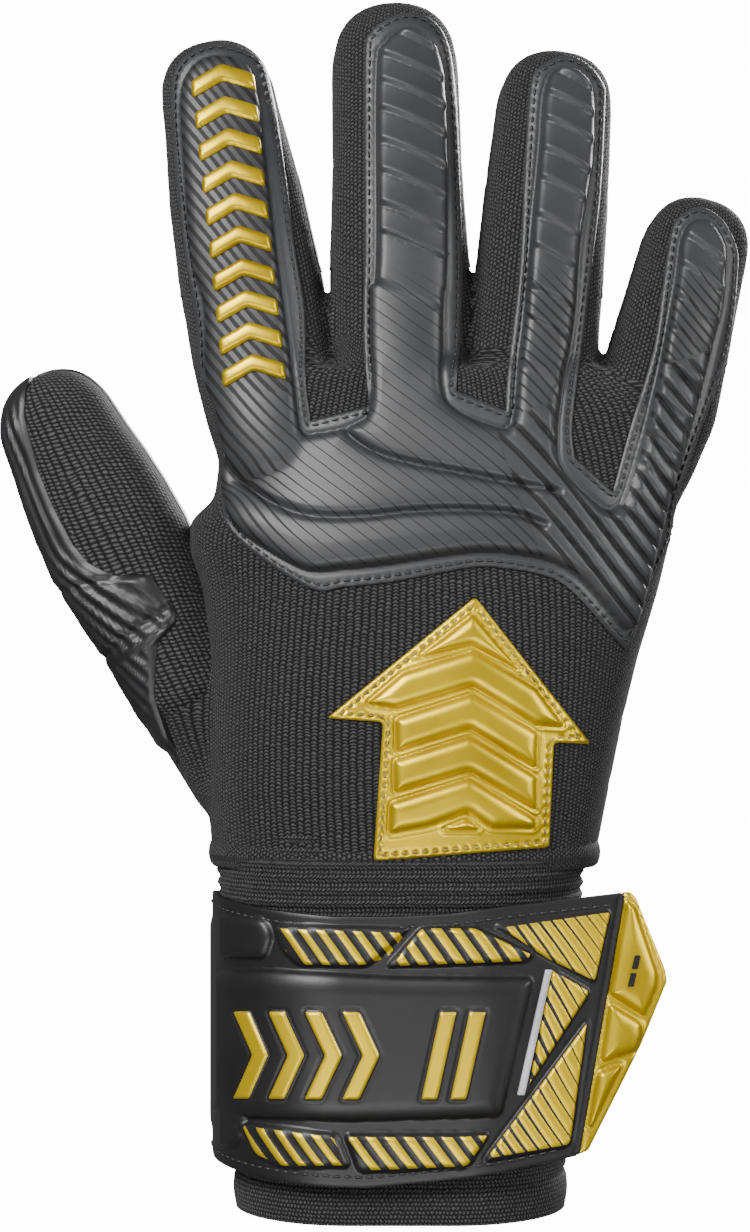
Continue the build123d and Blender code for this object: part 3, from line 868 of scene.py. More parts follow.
# ---------------------------------------------------------------- pieces laid on the back of the hand
def relaxed(values, faces, rounds=8):
    """Values averaged with their neighbours over a mesh of triangles."""
    edges = np.vstack([faces[:, [0, 1]], faces[:, [1, 2]], faces[:, [2, 0]]])
    edges = np.unique(np.sort(edges, axis=1), axis=0)
    count = np.bincount(edges.ravel(), minlength=len(values))[:, None]
    for _ in range(rounds):
        total = np.zeros_like(values)
        np.add.at(total, edges[:, 0], values[edges[:, 1]])
        np.add.at(total, edges[:, 1], values[edges[:, 0]])
        values = (values + total / count) / 2
    return values


def domain(outline, step, lines=()):
    """Triangles that fill a closed outline: points (n, 2) and faces. The lines are kept as edges."""
    low, high = outline.min(axis=0), outline.max(axis=0)
    lattice = []
    for row, z in enumerate(np.arange(low[1], high[1], step * math.sqrt(3) / 2)):
        lattice += [(x, z) for x in np.arange(low[0] + step / 2 * (row % 2), high[0], step)]
    lattice = np.array(lattice)
    keep = inside(lattice, outline)
    lattice = lattice[keep]
    keep = distance_to(lattice, outline, closed=True)[0] > 0.45 * step
    for line in lines:
        keep &= distance_to(lattice, line)[0] > 0.4 * step
    lattice = lattice[keep]
    n = len(outline)
    edges = [(i, (i + 1) % n) for i in range(n)]
    start = n
    for line in lines:
        edges += [(start + i, start + i + 1) for i in range(len(line) - 1)]
        start += len(line)
    points = [Vector(p) for p in np.vstack([outline, *lines, lattice])]
    result = delaunay_2d_cdt(points, edges, [], 0, 1e-6, False)
    plane = np.array([tuple(v) for v in result[0]])
    faces = np.array([f for f in result[2] if len(f) == 3])
    faces = faces[inside(plane[faces].mean(axis=1), outline)]
    used, faces = np.unique(faces, return_inverse=True)
    return plane[used], faces.reshape(-1, 3)


FIELD_REACH = 3.0


def field(points, outline):
    """Distance of 2D points inside a closed outline, negative outside, down to -FIELD_REACH."""
    out = np.full(len(points), -FIELD_REACH)
    near = ((points > outline.min(axis=0) - FIELD_REACH) & (points < outline.max(axis=0) + FIELD_REACH)).all(axis=1)
    d = distance_to(points[near], outline, closed=True)[0]
    out[near] = np.maximum(np.where(inside(points[near], outline), d, -d), -FIELD_REACH)
    return out


def dent(distance, width):
    """1 on a line, falling to 0 within about twice the width."""
    return np.exp(-(distance / width) ** 2)


def pillow(depth, radius):
    """A rounded shoulder that reaches 1 at radius inside an edge."""
    t = 1 - np.clip(depth / radius, 0, 1)
    return np.where(depth > 0, np.sqrt(np.clip(1 - t * t, 0, 1)), 0.0)


class Patch:
    """A region of the glove's surface inside an outline in front coordinates."""

    def __init__(self, outline, step, lines=()):
        self.plane, self.faces = domain(outline, step, lines)
        raw, normals = cast_front(self.plane)
        self.raw = raw
        self.normals = unit(relaxed(normals, self.faces, 12))
        self.rim = distance_to(self.plane, outline, closed=True)[0]
        shift = ((relaxed(raw, self.faces, 12) - raw) * self.normals).sum(axis=1) * smooth(self.rim, 0, 1.5)
        self.base = raw + self.normals * shift[:, None]

    def piece(self, name, rise, floor, material, prints=None, chosen=None):
        """A closed piece between the heights floor and rise over the surface, of the chosen faces or all."""
        outer = self.base + self.normals * rise[:, None]
        shading = vertex_normals(outer, self.faces)
        faces = self.faces if chosen is None else self.faces[chosen]
        used, faces = np.unique(faces, return_inverse=True)
        faces = faces.reshape(-1, 3)
        inner = (self.base + self.normals * np.broadcast_to(floor, rise.shape)[:, None])[used]
        attributes = {} if prints is None else {"print": prints[used]}
        return shell(name, outer[used], inner, faces.tolist(), shading[used], attributes, material)


def thread_mesh(path, normals, pitch, length, radius, sides=6):
    """Stitches along a path on a surface, each a small capsule: vertices, faces and stitch centres."""
    lengths = np.concatenate([[0], np.cumsum(np.linalg.norm(np.diff(path, axis=0), axis=1))])
    verts, faces, centres = [], [], []
    profile = [(-0.5, 0.25, -0.5), (-0.42, 0.8, -0.2), (0, 1.0, 0.2), (0.42, 0.8, -0.2), (0.5, 0.25, -0.5)]
    for number in range(int(lengths[-1] / pitch)):
        middle = (number + 0.5) * pitch
        at = [np.array([np.interp(middle + k * length, lengths, path[:, i]) for i in range(3)])
              for k in (-0.5, 0, 0.5)]
        up = unit(np.array([np.interp(middle, lengths, normals[:, i]) for i in range(3)]))
        along = unit(at[2] - at[0])
        side = unit(np.cross(along, up))
        start = len(verts)
        for place, size, lift in profile:
            centre = at[1] + along * place * length + up * lift * radius
            for k in range(sides):
                a = 2 * math.pi * k / sides
                verts.append(centre + (side * math.cos(a) + up * math.sin(a)) * size * radius)
        for ring in range(len(profile) - 1):
            for k in range(sides):
                a, b = start + ring * sides + k, start + ring * sides + (k + 1) % sides
                faces.append((a, a + sides, b + sides, b))
        faces.append(tuple(start + k for k in range(sides)))
        faces.append(tuple(start + (len(profile) - 1) * sides + k for k in reversed(range(sides))))
        centres.append(at[1])
    return np.array(verts), faces, np.array(centres)


def stitch_holes(patch, outline):
    """1 at each stitch round a patch's outline, 0 halfway between two."""
    _, along, _ = distance_to(patch.plane, outline, closed=True)
    return 0.5 - 0.5 * np.cos(2 * math.pi * along / STITCH_PITCH)


def sewn_row(name, line, lift, material, pitch=2.2, length=1.5, radius=0.27, part=None):
    """Stitches along a line in front coordinates, lifted over the glove, one piece for each part they cross."""
    base, normals = cast_front(line)
    for _ in range(3):
        normals = unit(normals + np.roll(normals, 1, axis=0) + np.roll(normals, -1, axis=0))
    verts, faces, centres = thread_mesh(base + normals * lift, normals, pitch, length, radius)
    per_verts, per_faces = len(verts) // len(centres), len(faces) // len(centres)
    owner = owners(centres) if part is None else np.full(len(centres), part)
    for value in np.unique(owner):
        kept = np.flatnonzero(owner == value)
        v = np.vstack([verts[k * per_verts:(k + 1) * per_verts] for k in kept])
        f = []
        for new, old in enumerate(kept):
            shift = (new - old) * per_verts
            f += [tuple(i + shift for i in face) for face in faces[old * per_faces:(old + 1) * per_faces]]
        obj = make_object(f"{name}_{PART_NAMES[value]}", v, f, materials=(material,))
        attach(obj, int(value))


# Outlines below are (x, z) in millimetres; a third value 1 marks a sharp corner.
KNUCKLE_OUTLINE = [
    (-43.6, 183.3), (-44.3, 193.7), (-47.6, 216.2), (-49.8, 241.5), (-48, 251), (-40.1, 255), (-31, 252),
    (-28.2, 245), (-25.6, 230.3), (-22.9, 210.4), (-20.7, 196.3), (-20.3, 181), (-19.2, 172, 1),
    (-6.3, 175.2, 1), (-7.5, 190), (-7.3, 215), (-7.3, 250), (-6, 257.5), (0.5, 261.6), (6.4, 260.8), (10.4, 256),
    (12.2, 246), (13.2, 227.8), (13.8, 203), (12.9, 178.6, 1),
    (23.7, 174.2, 1), (24.2, 183), (26.8, 205.4), (27.9, 227.9), (29.3, 246), (31.5, 250), (36, 252.2),
    (40.8, 251), (44.9, 246.4), (45.3, 241), (44.3, 222.3), (42.7, 208.3), (40.4, 188.6), (38.4, 171.7),
    (38.9, 163.9, 1), (47.2, 156.4, 1), (51.1, 170.5), (56.2, 187.5), (58.2, 200.9), (60.1, 213), (62, 217),
    (66.3, 219), (70.8, 216.8), (74, 211.5), (74.6, 205), (72.3, 187.5), (65, 166.1), (61, 154), (59.5, 145.4),
    (54, 132.2), (51.8, 124.9), (49.8, 121.8, 1), (46.3, 125.6), (41.2, 131.5), (36.8, 135.7), (32.4, 137.9),
    (25.1, 139.4), (17.6, 139.9), (10.4, 138.8), (-1.3, 136.6), (-11.5, 135.5), (-18.7, 135), (-29.8, 141.6),
    (-37, 148.3), (-38.6, 154), (-38.6, 164.3), (-40.4, 174.5),
]
# The raised field inside the sewn flange.
FIELD_OUTLINE = [
    (-41.4, 179.5), (-42, 196.4), (-44.8, 207.6), (-46.2, 224.5), (-47.2, 243), (-44.5, 250), (-39, 251.8),
    (-33.6, 250), (-31.4, 243), (-30.4, 235.8), (-27.6, 213.3), (-25.3, 196.3), (-23.1, 180), (-21.4, 169.6),
    (-17.5, 168.8), (-9.6, 170.8), (-5.8, 176), (-5.8, 200), (-4.4, 206), (-4.3, 248), (-2.8, 254.6), (1.6, 258),
    (5.6, 256.4), (9.0, 250), (10, 230), (10, 204), (9.3, 198), (9.6, 180), (12.4, 174.3), (20.5, 170.6), (25, 171),
    (26.6, 184.1), (27.9, 194.2), (29.9, 216.7), (31.3, 230.8), (32.4, 244), (34.6, 248.6), (38.6, 249),
    (41.8, 246), (42.6, 241), (42, 227.9), (39.5, 211.1), (38.3, 195.3), (35.8, 178.4), (34.9, 168),
    (36.2, 160.8), (44.8, 152.6), (48, 153), (49.6, 156), (55, 173.6), (57.7, 183.7), (61.3, 202.7), (62.6, 211.6),
    (65.0, 215.4), (68.8, 215.2), (71.4, 211), (71.6, 207), (70.8, 197.6), (68.9, 190.1), (65.1, 174.9),
    (58.8, 153.3), (53.9, 134.4), (51.6, 127.2), (49.4, 126.4), (44.9, 131.6), (40, 137), (33.5, 141),
    (25.1, 142.7), (17.6, 143.1), (8, 142), (-3, 140.3), (-12.5, 139.4), (-19.6, 139.2), (-28.5, 143.8),
    (-36.2, 149.6), (-37.6, 155), (-37.5, 164.3), (-39.2, 174.5),
]
FIELD_LINE = spline(FIELD_OUTLINE, 1.2, closed=True)
FIELD_SHOULDER = 2.2
GROOVE_DEPTH = 1.25
GROOVES = [
    [(-13, 172.3), (-10.1, 167.9), (-4.2, 164.3), (3.1, 162.1), (14.1, 159.9), (25.1, 157.7), (34.6, 156)],
    [(-38.6, 167.2), (-34.8, 160.6), (-29.8, 154.9), (-24, 151.8), (-17.4, 150.4), (-7.9, 150.4), (3.1, 151.5),
     (14.1, 151.8), (25.1, 151.1), (31.5, 148.9)],
]


class Ladder:
    """The overlapping pads of one finger strip: left and right edges and the heights of the grooves."""

    def __init__(self, left, right, grooves, drop):
        self.left, self.right = np.array(left), np.array(right)
        self.grooves, self.drop = np.array(sorted(grooves)), drop

    def rise(self, points):
        """Each pad climbs towards its lower edge and falls steeply into the groove there."""
        z = points[:, 1]
        left = np.interp(z, self.left[::-1, 1], self.left[::-1, 0])
        right = np.interp(z, self.right[::-1, 1], self.right[::-1, 0])
        u = (points[:, 0] - left) / (right - left)
        level = z + self.drop * (np.clip(u, 0, 1) ** 1.3)
        number = np.searchsorted(self.grooves, level) - 1
        on = (u > -0.2) & (u < 1.2) & (number >= 0)
        lower = self.grooves[np.clip(number, 0, None)]
        upper = np.append(self.grooves, self.grooves[-1] + 7)[np.clip(number, 0, None) + 1]
        q = np.clip((level - lower) / (upper - lower), 0, 1)
        climb = 0.2 + 0.8 * (1 - q) ** 1.6
        return np.where(on, PAD_CLIMB * climb * smooth(q, 0, 0.2), 0.0)


PAD_CLIMB = 1.4
LADDERS = [
    Ladder([(-4.3, 262), (-4.3, 204), (-5.8, 198), (-5.8, 170)], [(10, 262), (10, 203), (9.4, 198), (9.6, 170)],
           [257.4, 251.5, 245.7, 239.5, 232.4, 225.9, 218.8, 212.9, 201.2], 6.8),
    Ladder([(33, 252), (31.3, 230.8), (29.9, 216.7), (27.9, 194.2), (26.6, 184.1), (26, 171.7)],
           [(43.6, 252), (42, 227.9), (39.5, 211.1), (38.3, 195.3), (35.5, 178.4), (34.9, 168)],
           [248.2, 243.1, 237.2, 230.5, 224.3, 216.1, 209.7, 200.7, 194.2, 182.9], 5.6),
    Ladder([(63.4, 218), (61.3, 202.7), (57.7, 183.7), (55, 173.6), (49.3, 154)],
           [(72.4, 218), (70.8, 197.6), (68.9, 190.1), (65.1, 174.9), (58.8, 153.3)],
           [211.6, 205.3, 198.6, 192, 184.4, 176.8, 169.2, 162.5], 7.0),
]


def print_phase(points):
    """Bars fall to the right, steeper towards both sides of the hand; the phase counts them."""
    x = np.arange(-60.0, 90.0, 0.5)
    steepness = 0.78 + 0.6 * smooth(x, 15, 45) + 0.6 * smooth(-x, 15, 40)
    return (points[:, 1] + np.interp(points[:, 0], x, np.cumsum(steepness) * 0.5)) / PRINT_PITCH


PRINT_PITCH = 2.9        # along z, mm
FLANGE, FIELD_RISE = 0.9, 1.7
STITCH_INSET, STITCH_PITCH = 1.25, 2.2
RIB_RISE = 0.55


def ribbed(points):
    """How strongly the diagonal ribs at the little finger's knuckle stand out."""
    x, z = points[:, 0], points[:, 1]
    return smooth(x + (z - 150) * 0.35, 27, 37) * (1 - smooth(z - 0.35 * x, 158, 164))


def knuckle_rise(points, rim, depth):
    """Height of the back pads over the knit: sewn flange, raised field, grooves, finger pads and ribs."""
    rise = FLANGE * smooth(rim, -0.5, 0.5)
    rise += FIELD_RISE * pillow(depth, FIELD_SHOULDER) - 0.35 * dent(depth + 0.4, 0.45)
    z = points[:, 1]
    on_hand = (1 - smooth(z, 168, 182)) * (depth > 0)
    nearest = np.full(len(points), 50.0)
    for groove in GROOVES:
        d, _, side = distance_to(points, spline(groove))
        nearest = np.minimum(nearest, d)
        rise -= GROOVE_DEPTH * dent(d - 0.15 * side, 0.75) * (depth > 0)
    nearest = np.minimum(nearest, np.clip(depth, 0, None))
    rise += on_hand * 1.1 * pillow(nearest, 7.5) * (1 - ribbed(points))
    for ladder in LADDERS:
        rise += ladder.rise(points) * smooth(depth, 0, 1.2)
    wave = np.abs((print_phase(points) / 2) % 1 - 0.5)
    rise += RIB_RISE * ribbed(points) * smooth(depth, 0.6, 2.2) * (smooth(wave, 0.05, 0.24) * 2 - 0.8)
    return rise


def knuckle_print(points, depth):
    """Printed bars: phase, share of the pitch that is dark, and depth inside the printed field."""
    x, z = points[:, 0], points[:, 1]
    share = 0.10 + 0.24 * smooth(x, 12, 40) + 0.28 * smooth(-x, 18, 34)
    share = share * (1 - smooth(z, 196, 208) * (x > -15))
    share = np.where((x < -15) & (z > 178), 0.48, share)
    ribs = ribbed(points) > 0.02
    phase = np.where(ribs, print_phase(points) / 2, print_phase(points))
    share = np.where(ribs, 0.30, share)
    return np.stack([phase, share, depth - 0.3], axis=1)


def split_line(digit, s):
    """Front coordinates of the line across a finger's back at distance s from its root."""
    centre, w = digit.at(s)
    v = np.cross(w, digit.u)
    hits = []
    for t in np.linspace(-1, 1, 41) * digit.half_width(s) * 1.02:
        start = centre + t * digit.u - 40 * v
        hit = TREE.ray_cast(Vector(start * 0.001), Vector(v))[0]
        if hit is not None:
            hits.append(tuple(hit))
    return seen(np.array(hits) * 1000)


def knuckle_pads():
    """The printed latex over the knuckles and up the fingers, cut where the fingers bend, with its stitches."""
    outline = spline(KNUCKLE_OUTLINE, 0.9, closed=True)
    lines = [split_line(digit, s) for digit in FINGERS for s in (ROOT_BLEND[0], digit.ring)]
    patch = Patch(outline, 0.52, lines)
    depth = field(patch.plane, FIELD_LINE)
    rise = knuckle_rise(patch.plane, patch.rim, depth)
    rise -= 0.22 * dent(patch.rim - STITCH_INSET, 0.35) * stitch_holes(patch, outline)
    prints = knuckle_print(patch.plane, depth)
    part = owners(patch.raw[patch.faces].mean(axis=1))
    for value in np.unique(part):
        name = "knuckle_latex" if value == HAND else f"{PART_NAMES[value]}_pad"
        obj = patch.piece(name, rise, -0.5, MATERIALS["pad"], prints, part == value)
        attach(obj, int(value))
        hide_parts("knuckle_pad" if value == HAND else node_of(int(value), "back_pad"))
    inset = offset_line(outline, STITCH_INSET)
    sewn_row("pad_stitches", inset, FLANGE + 0.05, MATERIALS["thread"], STITCH_PITCH)


knuckle_pads()


# ---------------------------------------------------------------- raised gold chevrons on the index finger
def index_chevrons():
    """Ten pillowed chevrons up the middle of the index finger's strip."""
    count, half, bar, point = 10, 6.2, 3.7, 3.0
    bottom, top = np.array([-31.4, 183.0]), np.array([-38.6, 246.2])
    up = unit(top - bottom)
    right = np.array([up[1], -up[0]])
    for number in range(count):
        centre = bottom + (top - bottom) * number / (count - 1)
        corners = [(-half, -point), (0, 0), (half, -point), (half, bar - point), (0, bar), (-half, bar - point)]
        outline = rounded([centre + right * a + up * (b - 0.4) for a, b in corners], 0.9, 0.5)
        patch = Patch(outline, 0.42)
        depth = field(patch.plane, FIELD_LINE)
        base = FLANGE + FIELD_RISE * pillow(depth, FIELD_SHOULDER)
        rise = base + 0.25 + 0.85 * pillow(patch.rim, 1.5)
        obj = patch.piece(f"index_chevron_{number + 1}", rise, base.min() - 0.2, MATERIALS["gold"])
        part = max(1, int(owners(patch.raw.mean(axis=0)[None])[0]))
        attach(obj, part)
        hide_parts(node_of(part, "raised_bars"))


index_chevrons()


# ---------------------------------------------------------------- gold arrow patch
ARROW_OUTLINE = [(17.0, 133.3), (-15.6, 106.6), (-3.3, 105.7), (-5.4, 75.2), (33.1, 78.2), (34.2, 101.3),
                 (42.3, 100.9)]
ARROW_PADS = [
    [(16.5, 129.4), (4.5, 120.0), (16.3, 122.6), (26.7, 117.0)],
    [(16.5, 121.4), (1.1, 116.6), (-6.8, 109.8), (-0.3, 108.7), (16.3, 113.7), (30.0, 105.2), (36.2, 104.9),
     (30.0, 113.3)],
    [(16.1, 111.9), (-0.5, 106.5), (-0.4, 99.2), (15.7, 104.4), (30.0, 95.7), (30.4, 103.6)],
    [(15.7, 102.6), (-0.9, 97.4), (-0.8, 90.2), (15.6, 95.0), (30.0, 86.5), (30.0, 94.0)],
    [(15.5, 93.4), (-1.7, 88.1), (-2.0, 81.3), (6.7, 82.9), (15.4, 86.1), (20.2, 82.7), (29.7, 82.5), (29.7, 84.8)],
    [(15.2, 84.5), (9.9, 82.3), (17.8, 82.3)],
]
ARROW_BASE, ARROW_RISE = 0.9, 1.7
ARROW_STITCH_INSET = 1.3


def arrow_patch():
    """The gold arrow with its raised pads, sewn on round its edge."""
    outline = rounded(ARROW_OUTLINE, 1.1, 0.5)
    patch = Patch(outline, 0.42)
    rise = ARROW_BASE * smooth(patch.rim, -0.5, 0.5)
    for corners in ARROW_PADS:
        depth = field(patch.plane, rounded(corners, 0.8, 0.6))
        rise += ARROW_RISE * pillow(depth, 2.6) - 0.22 * dent(depth + 0.25, 0.3)
        rise += 0.28 * dent(depth + 0.85, 0.35)
    rise -= 0.45 * dent(patch.rim - ARROW_STITCH_INSET, 0.4) * stitch_holes(patch, outline) ** 2
    obj = patch.piece("arrow_patch_gold", rise, -0.4, MATERIALS["gold"])
    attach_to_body(obj, "palm")
    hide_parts("arrow_patch")
    sewn_row("arrow_stitches", offset_line(outline, ARROW_STITCH_INSET), ARROW_BASE + 0.02,
             MATERIALS["gold_thread"], STITCH_PITCH, 1.3, 0.26, part=HAND)


arrow_patch()


# ---------------------------------------------------------------- thumb
# The seam on the thumb's back, from its root to its tip: distance along the thumb and across it.
THUMB_SEAM = [(-12, -9.0), (2.5, -6.0), (12.6, 0.4), (14.6, 5.8), (17, 7.0), (26.6, 5.6), (28.2, 3.0), (30, -1.4),
              (35, -5.3), (40, -6.6), (49, -7.0), (58, -6.4), (70, -3.9), (77.6, -0.4)]
INNER_SEAM = 0.25        # radians palmward of the thumb's inner side
THUMB_RADIUS = 13.0      # turns an angle round the thumb into millimetres
THUMB_RIB_PITCH = 3.3
ROOT_TUCK = 1.6          # the thumb's pieces sink this far where they start under the hand


def thumb_grid(first, last, start_angle, end_angle, columns, step=0.55):
    """Rows of points along the thumb between two distances and two angles, with s and angle of each."""
    dome = THUMB.half_width(THUMB.length)
    base = THUMB.length - dome
    rows = list(np.arange(first, min(last, base), step))
    if last > base:
        rows += [base + dome * math.sin(a) for a in np.linspace(0, 1.53, 22)]
    else:
        rows.append(last)
    verts, marks = [], []
    for s in rows:
        centre, w = THUMB.at(s)
        v = np.cross(w, THUMB.u)
        shrink = tip_share(s, base, dome)
        half_w, half_d = THUMB.half_width(s) * shrink, THUMB.half_depth(s) * shrink
        a0, a1 = start_angle(s, half_w), end_angle(s, half_w)
        for k in range(columns):
            angle = a0 + (a1 - a0) * k / (columns - 1)
            c, d = superellipse(angle, DIGIT_POWER)
            verts.append(centre + c * half_w * THUMB.u + d * half_d * v)
            marks.append((s, angle, c * half_w))
    return np.array(verts), np.array(marks), len(rows)


def seam_angle(s, half_width):
    """Angle of the back seam round the thumb, from its inner side and palmward positive."""
    table = np.array(THUMB_SEAM)
    across = np.interp(s, table[:, 0], table[:, 1])
    share = np.clip(across / half_width, -0.98, 0.98)
    return -math.acos(math.copysign(abs(share) ** (1 / DIGIT_POWER), share))


def far_seam(s, half_width):
    """The back seam's angle, reached the long way round."""
    return 2 * math.pi + seam_angle(s, half_width)


def inner_seam(s, half_width):
    """Angle of the seam on the thumb's inner side, the same all along."""
    return INNER_SEAM


def thumb_piece(name, first, last, start_angle, end_angle, columns, height, material, part):
    """A closed piece of the thumb between two distances and two seams; height works on s, angle and offset."""
    verts, marks, rows = thumb_grid(first, last, start_angle, end_angle, columns)
    faces = grid_faces(rows, columns)
    normals = vertex_normals(verts, faces)
    outer = verts + normals * height(marks)[:, None]
    shading = vertex_normals(outer, faces)
    weave = np.stack([marks[:, 1] * THUMB_GIRTH, marks[:, 0], np.zeros(len(verts))], axis=1)
    obj = shell(name, outer, verts - normals * SKIN, faces, shading, {"weave": weave}, material)
    attach(obj, part)
    return obj


def wrap_rise(marks):
    """Moulded ribs along the outer side, a fold across the wrap's tab, and a rolled edge at the seam."""
    s, angle, t = marks.T
    edge = (angle - np.array([far_seam(a, float(THUMB.half_width(a))) for a in s])) * -THUMB_RADIUS
    rise = 0.9 * np.sqrt(smooth(edge, -0.3, 1.6)) * np.sqrt(smooth((angle - INNER_SEAM) * THUMB_RADIUS, -0.3, 1.6))
    lean = 0.05 + 0.42 * (1 - smooth(s, 34, 46))
    rib = np.abs(((angle * THUMB_RADIUS + lean * (s - 40)) / THUMB_RIB_PITCH) % 1 - 0.5)
    outer_side = smooth(angle, 2.5, 3.1) * smooth(s, -4, 2) * (1 - smooth(s, 68, 77)) * smooth(edge, 1.3, 2.8)
    rise += 0.85 * outer_side * (smooth(rib, 0.14, 0.42) - 0.4)
    rise -= 0.8 * dent(s - 17.5 - 0.12 * t, 1.1) * smooth(angle, 3.0, 3.6)
    rise -= 0.6 * dent(s - 29 + 0.3 * t, 0.9) * smooth(angle, 3.0, 3.6)
    return rise - ROOT_TUCK * (1 - smooth(s, -11, -6))


def mesh_rise(marks):
    """The mesh back lies on the thumb and dips under the hand at its root."""
    return -ROOT_TUCK * (1 - smooth(marks[:, 0], -5, 1))


def thumb():
    """The mesh back and the moulded latex wrap of the thumb, each in a base and a tip piece."""
    mesh_slots = {THUMB_LOWER: (-6.0, THUMB.ring), THUMB_UPPER: (THUMB.ring, 99.0)}
    for part, (first, last) in mesh_slots.items():
        half = "base" if part == THUMB_LOWER else "tip"
        back = thumb_piece(f"thumb_mesh_{half}", first, last, seam_angle, inner_seam, 50, mesh_rise,
                           MATERIALS["knit_thumb"], part)
        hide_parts(f"thumb_{half}_mesh_back", f"thumb_{half}_gusset")
        first = -12.0 if part == THUMB_LOWER else first
        wrap = thumb_piece(f"thumb_latex_{half}", first, last, inner_seam, far_seam, 90, wrap_rise,
                           MATERIALS["pad_plain"], part)
        nodes = [f"thumb_{half}_palm_latex"] + (["thumb_saddle"] if part == THUMB_LOWER else [])
        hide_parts(*nodes)


thumb()


# ---------------------------------------------------------------- elastic bandage
def stadium(width, depth, corner, count, centre_x=0.5):
    """Points evenly round a rounded rectangle, from the thumb side by way of the back of the hand."""
    corner = min(corner, depth / 2 - 0.2)
    corners = [(-1, -1, 180), (1, -1, 270), (1, 1, 0), (-1, 1, 90)]
    loop = []
    for sx, sy, start in corners:
        cx, cy = sx * (width / 2 - corner), sy * (depth / 2 - corner)
        for a in np.radians(np.linspace(start, start + 90, 24)):
            loop.append((cx + corner * math.cos(a) + centre_x, cy + corner * math.sin(a)))
    loop.append(loop[0])
    loop = np.array(loop)
    lengths = np.concatenate([[0], np.cumsum(np.linalg.norm(np.diff(loop, axis=0), axis=1))])
    at = np.linspace(0, lengths[-1], count, endpoint=False)
    return np.stack([np.interp(at, lengths, loop[:, k]) for k in (0, 1)], axis=1), lengths[-1]


CUFF_LOW, CUFF_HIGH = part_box("elastic_bandage")
CUFF_CENTRE_X = (CUFF_LOW[0] + CUFF_HIGH[0]) / 2 * 1000
BANDAGE_BOTTOM, BANDAGE_TOP = CUFF_LOW[2] * 1000, 83.0
BANDAGE_WALL = 2.2
BANDAGE_RIB, BANDAGE_RIB_PITCH = 0.35, 2.7


def bandage():
    """Ribbed elastic tube with a rolled hem at the bottom, tucked into the hand at the top."""
    columns = 240
    profile = []
    for z in np.arange(BANDAGE_BOTTOM, BANDAGE_TOP + 0.1, 0.6):
        share = z / 72.5
        grow = 0.5 * dent(z - 3.6, 3.2) - 0.7 * dent(z - 8.2, 0.9)
        grow += BANDAGE_RIB * math.sin(2 * math.pi * z / BANDAGE_RIB_PITCH) * float(smooth(z, 8, 12))
        grow -= 1.9 * float(smooth(z, 76.2, 78.2))
        profile.append((z, 72.0 + 8.0 * share, 52.0 + share, grow))
    rings, weave = [], []
    for z, width, depth, grow in profile:
        loop, length = stadium(width + 2 * grow, depth + 2 * grow, 25 + grow, columns, CUFF_CENTRE_X)
        rings.append(np.column_stack([loop, np.full(columns, z)]))
        weave.append(np.column_stack([np.full(columns, z), np.arange(columns) / columns * length,
                                      np.zeros(columns)]))
    outer = np.vstack(rings)
    centre = np.array([CUFF_CENTRE_X, 0, 0])
    faces = grid_faces(len(profile), columns, closed=True)
    normals = vertex_normals(outer, faces)
    flat = unit((outer - centre) * [1, 1, 0])
    obj = shell("elastic_bandage_knit", outer, outer - flat * BANDAGE_WALL, faces, normals,
                {"weave": np.vstack(weave)}, MATERIALS["knit_band"])
    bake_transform(obj)
    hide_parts("elastic_bandage")


bandage()


def hand_hem():
    """The rolled hem where the hand's knit meets the bandage."""
    table = HAND_SECTIONS[0]
    columns, turns = 200, 14
    verts, weave = [], []
    for k in range(columns):
        c, s = superellipse(2 * math.pi * k / columns, HAND_POWER)
        centre = np.array([c * (table[2] - table[1]) / 2 + (table[1] + table[2]) / 2, s * (table[4] - 1), 77.4])
        out = unit(np.array([c / 42, s / 26, 0]))
        for j in range(turns):
            a = 2 * math.pi * j / turns
            verts.append(centre + out * 1.3 * math.cos(a) + np.array([0, 0, 2.9 * math.sin(a)]))
            weave.append((k * 1.2, 2.5 * a, 0))
    faces = []
    for k in range(columns):
        for j in range(turns):
            a, b = k * turns + j, k * turns + (j + 1) % turns
            c, d = ((k + 1) % columns) * turns + (j + 1) % turns, ((k + 1) % columns) * turns + j
            faces.append((a, d, c, b))
    obj = make_object("hand_hem", verts, faces, attributes={"weave": weave}, materials=(MATERIALS["knit_band"],))
    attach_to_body(obj, "palm")


hand_hem()


# ---------------------------------------------------------------- closure strap
FRONT_HINGE = np.array(JOINTS["strap_front_peel"]["pos_m"]) * 1000
END_HINGE = np.array(JOINTS["strap_end_peel"]["pos_m"]) * 1000
END_TILT = math.radians(8.0)
STRAP_RADIUS = 31.9
STRAP_FACE_Y = float(END_HINGE[1])                       # the strap's flat front
CORNER_X = float(FRONT_HINGE[0]) + STRAP_RADIUS          # centre of its rounded thumb side
WRAP_END_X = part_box("strap_wrap_shell")[1][0] * 1000
STRAP_SHELL, STRAP_BACKING = 1.5, 1.3
STRAP_HEIGHT = 56
STRAP_THREAD = (2.3, 1.6, 0.3)                           # pitch, length and radius of a stitch
NO_PRINT = (0.5, 1.0, -9.0)                              # phase, share and depth where nothing is printed


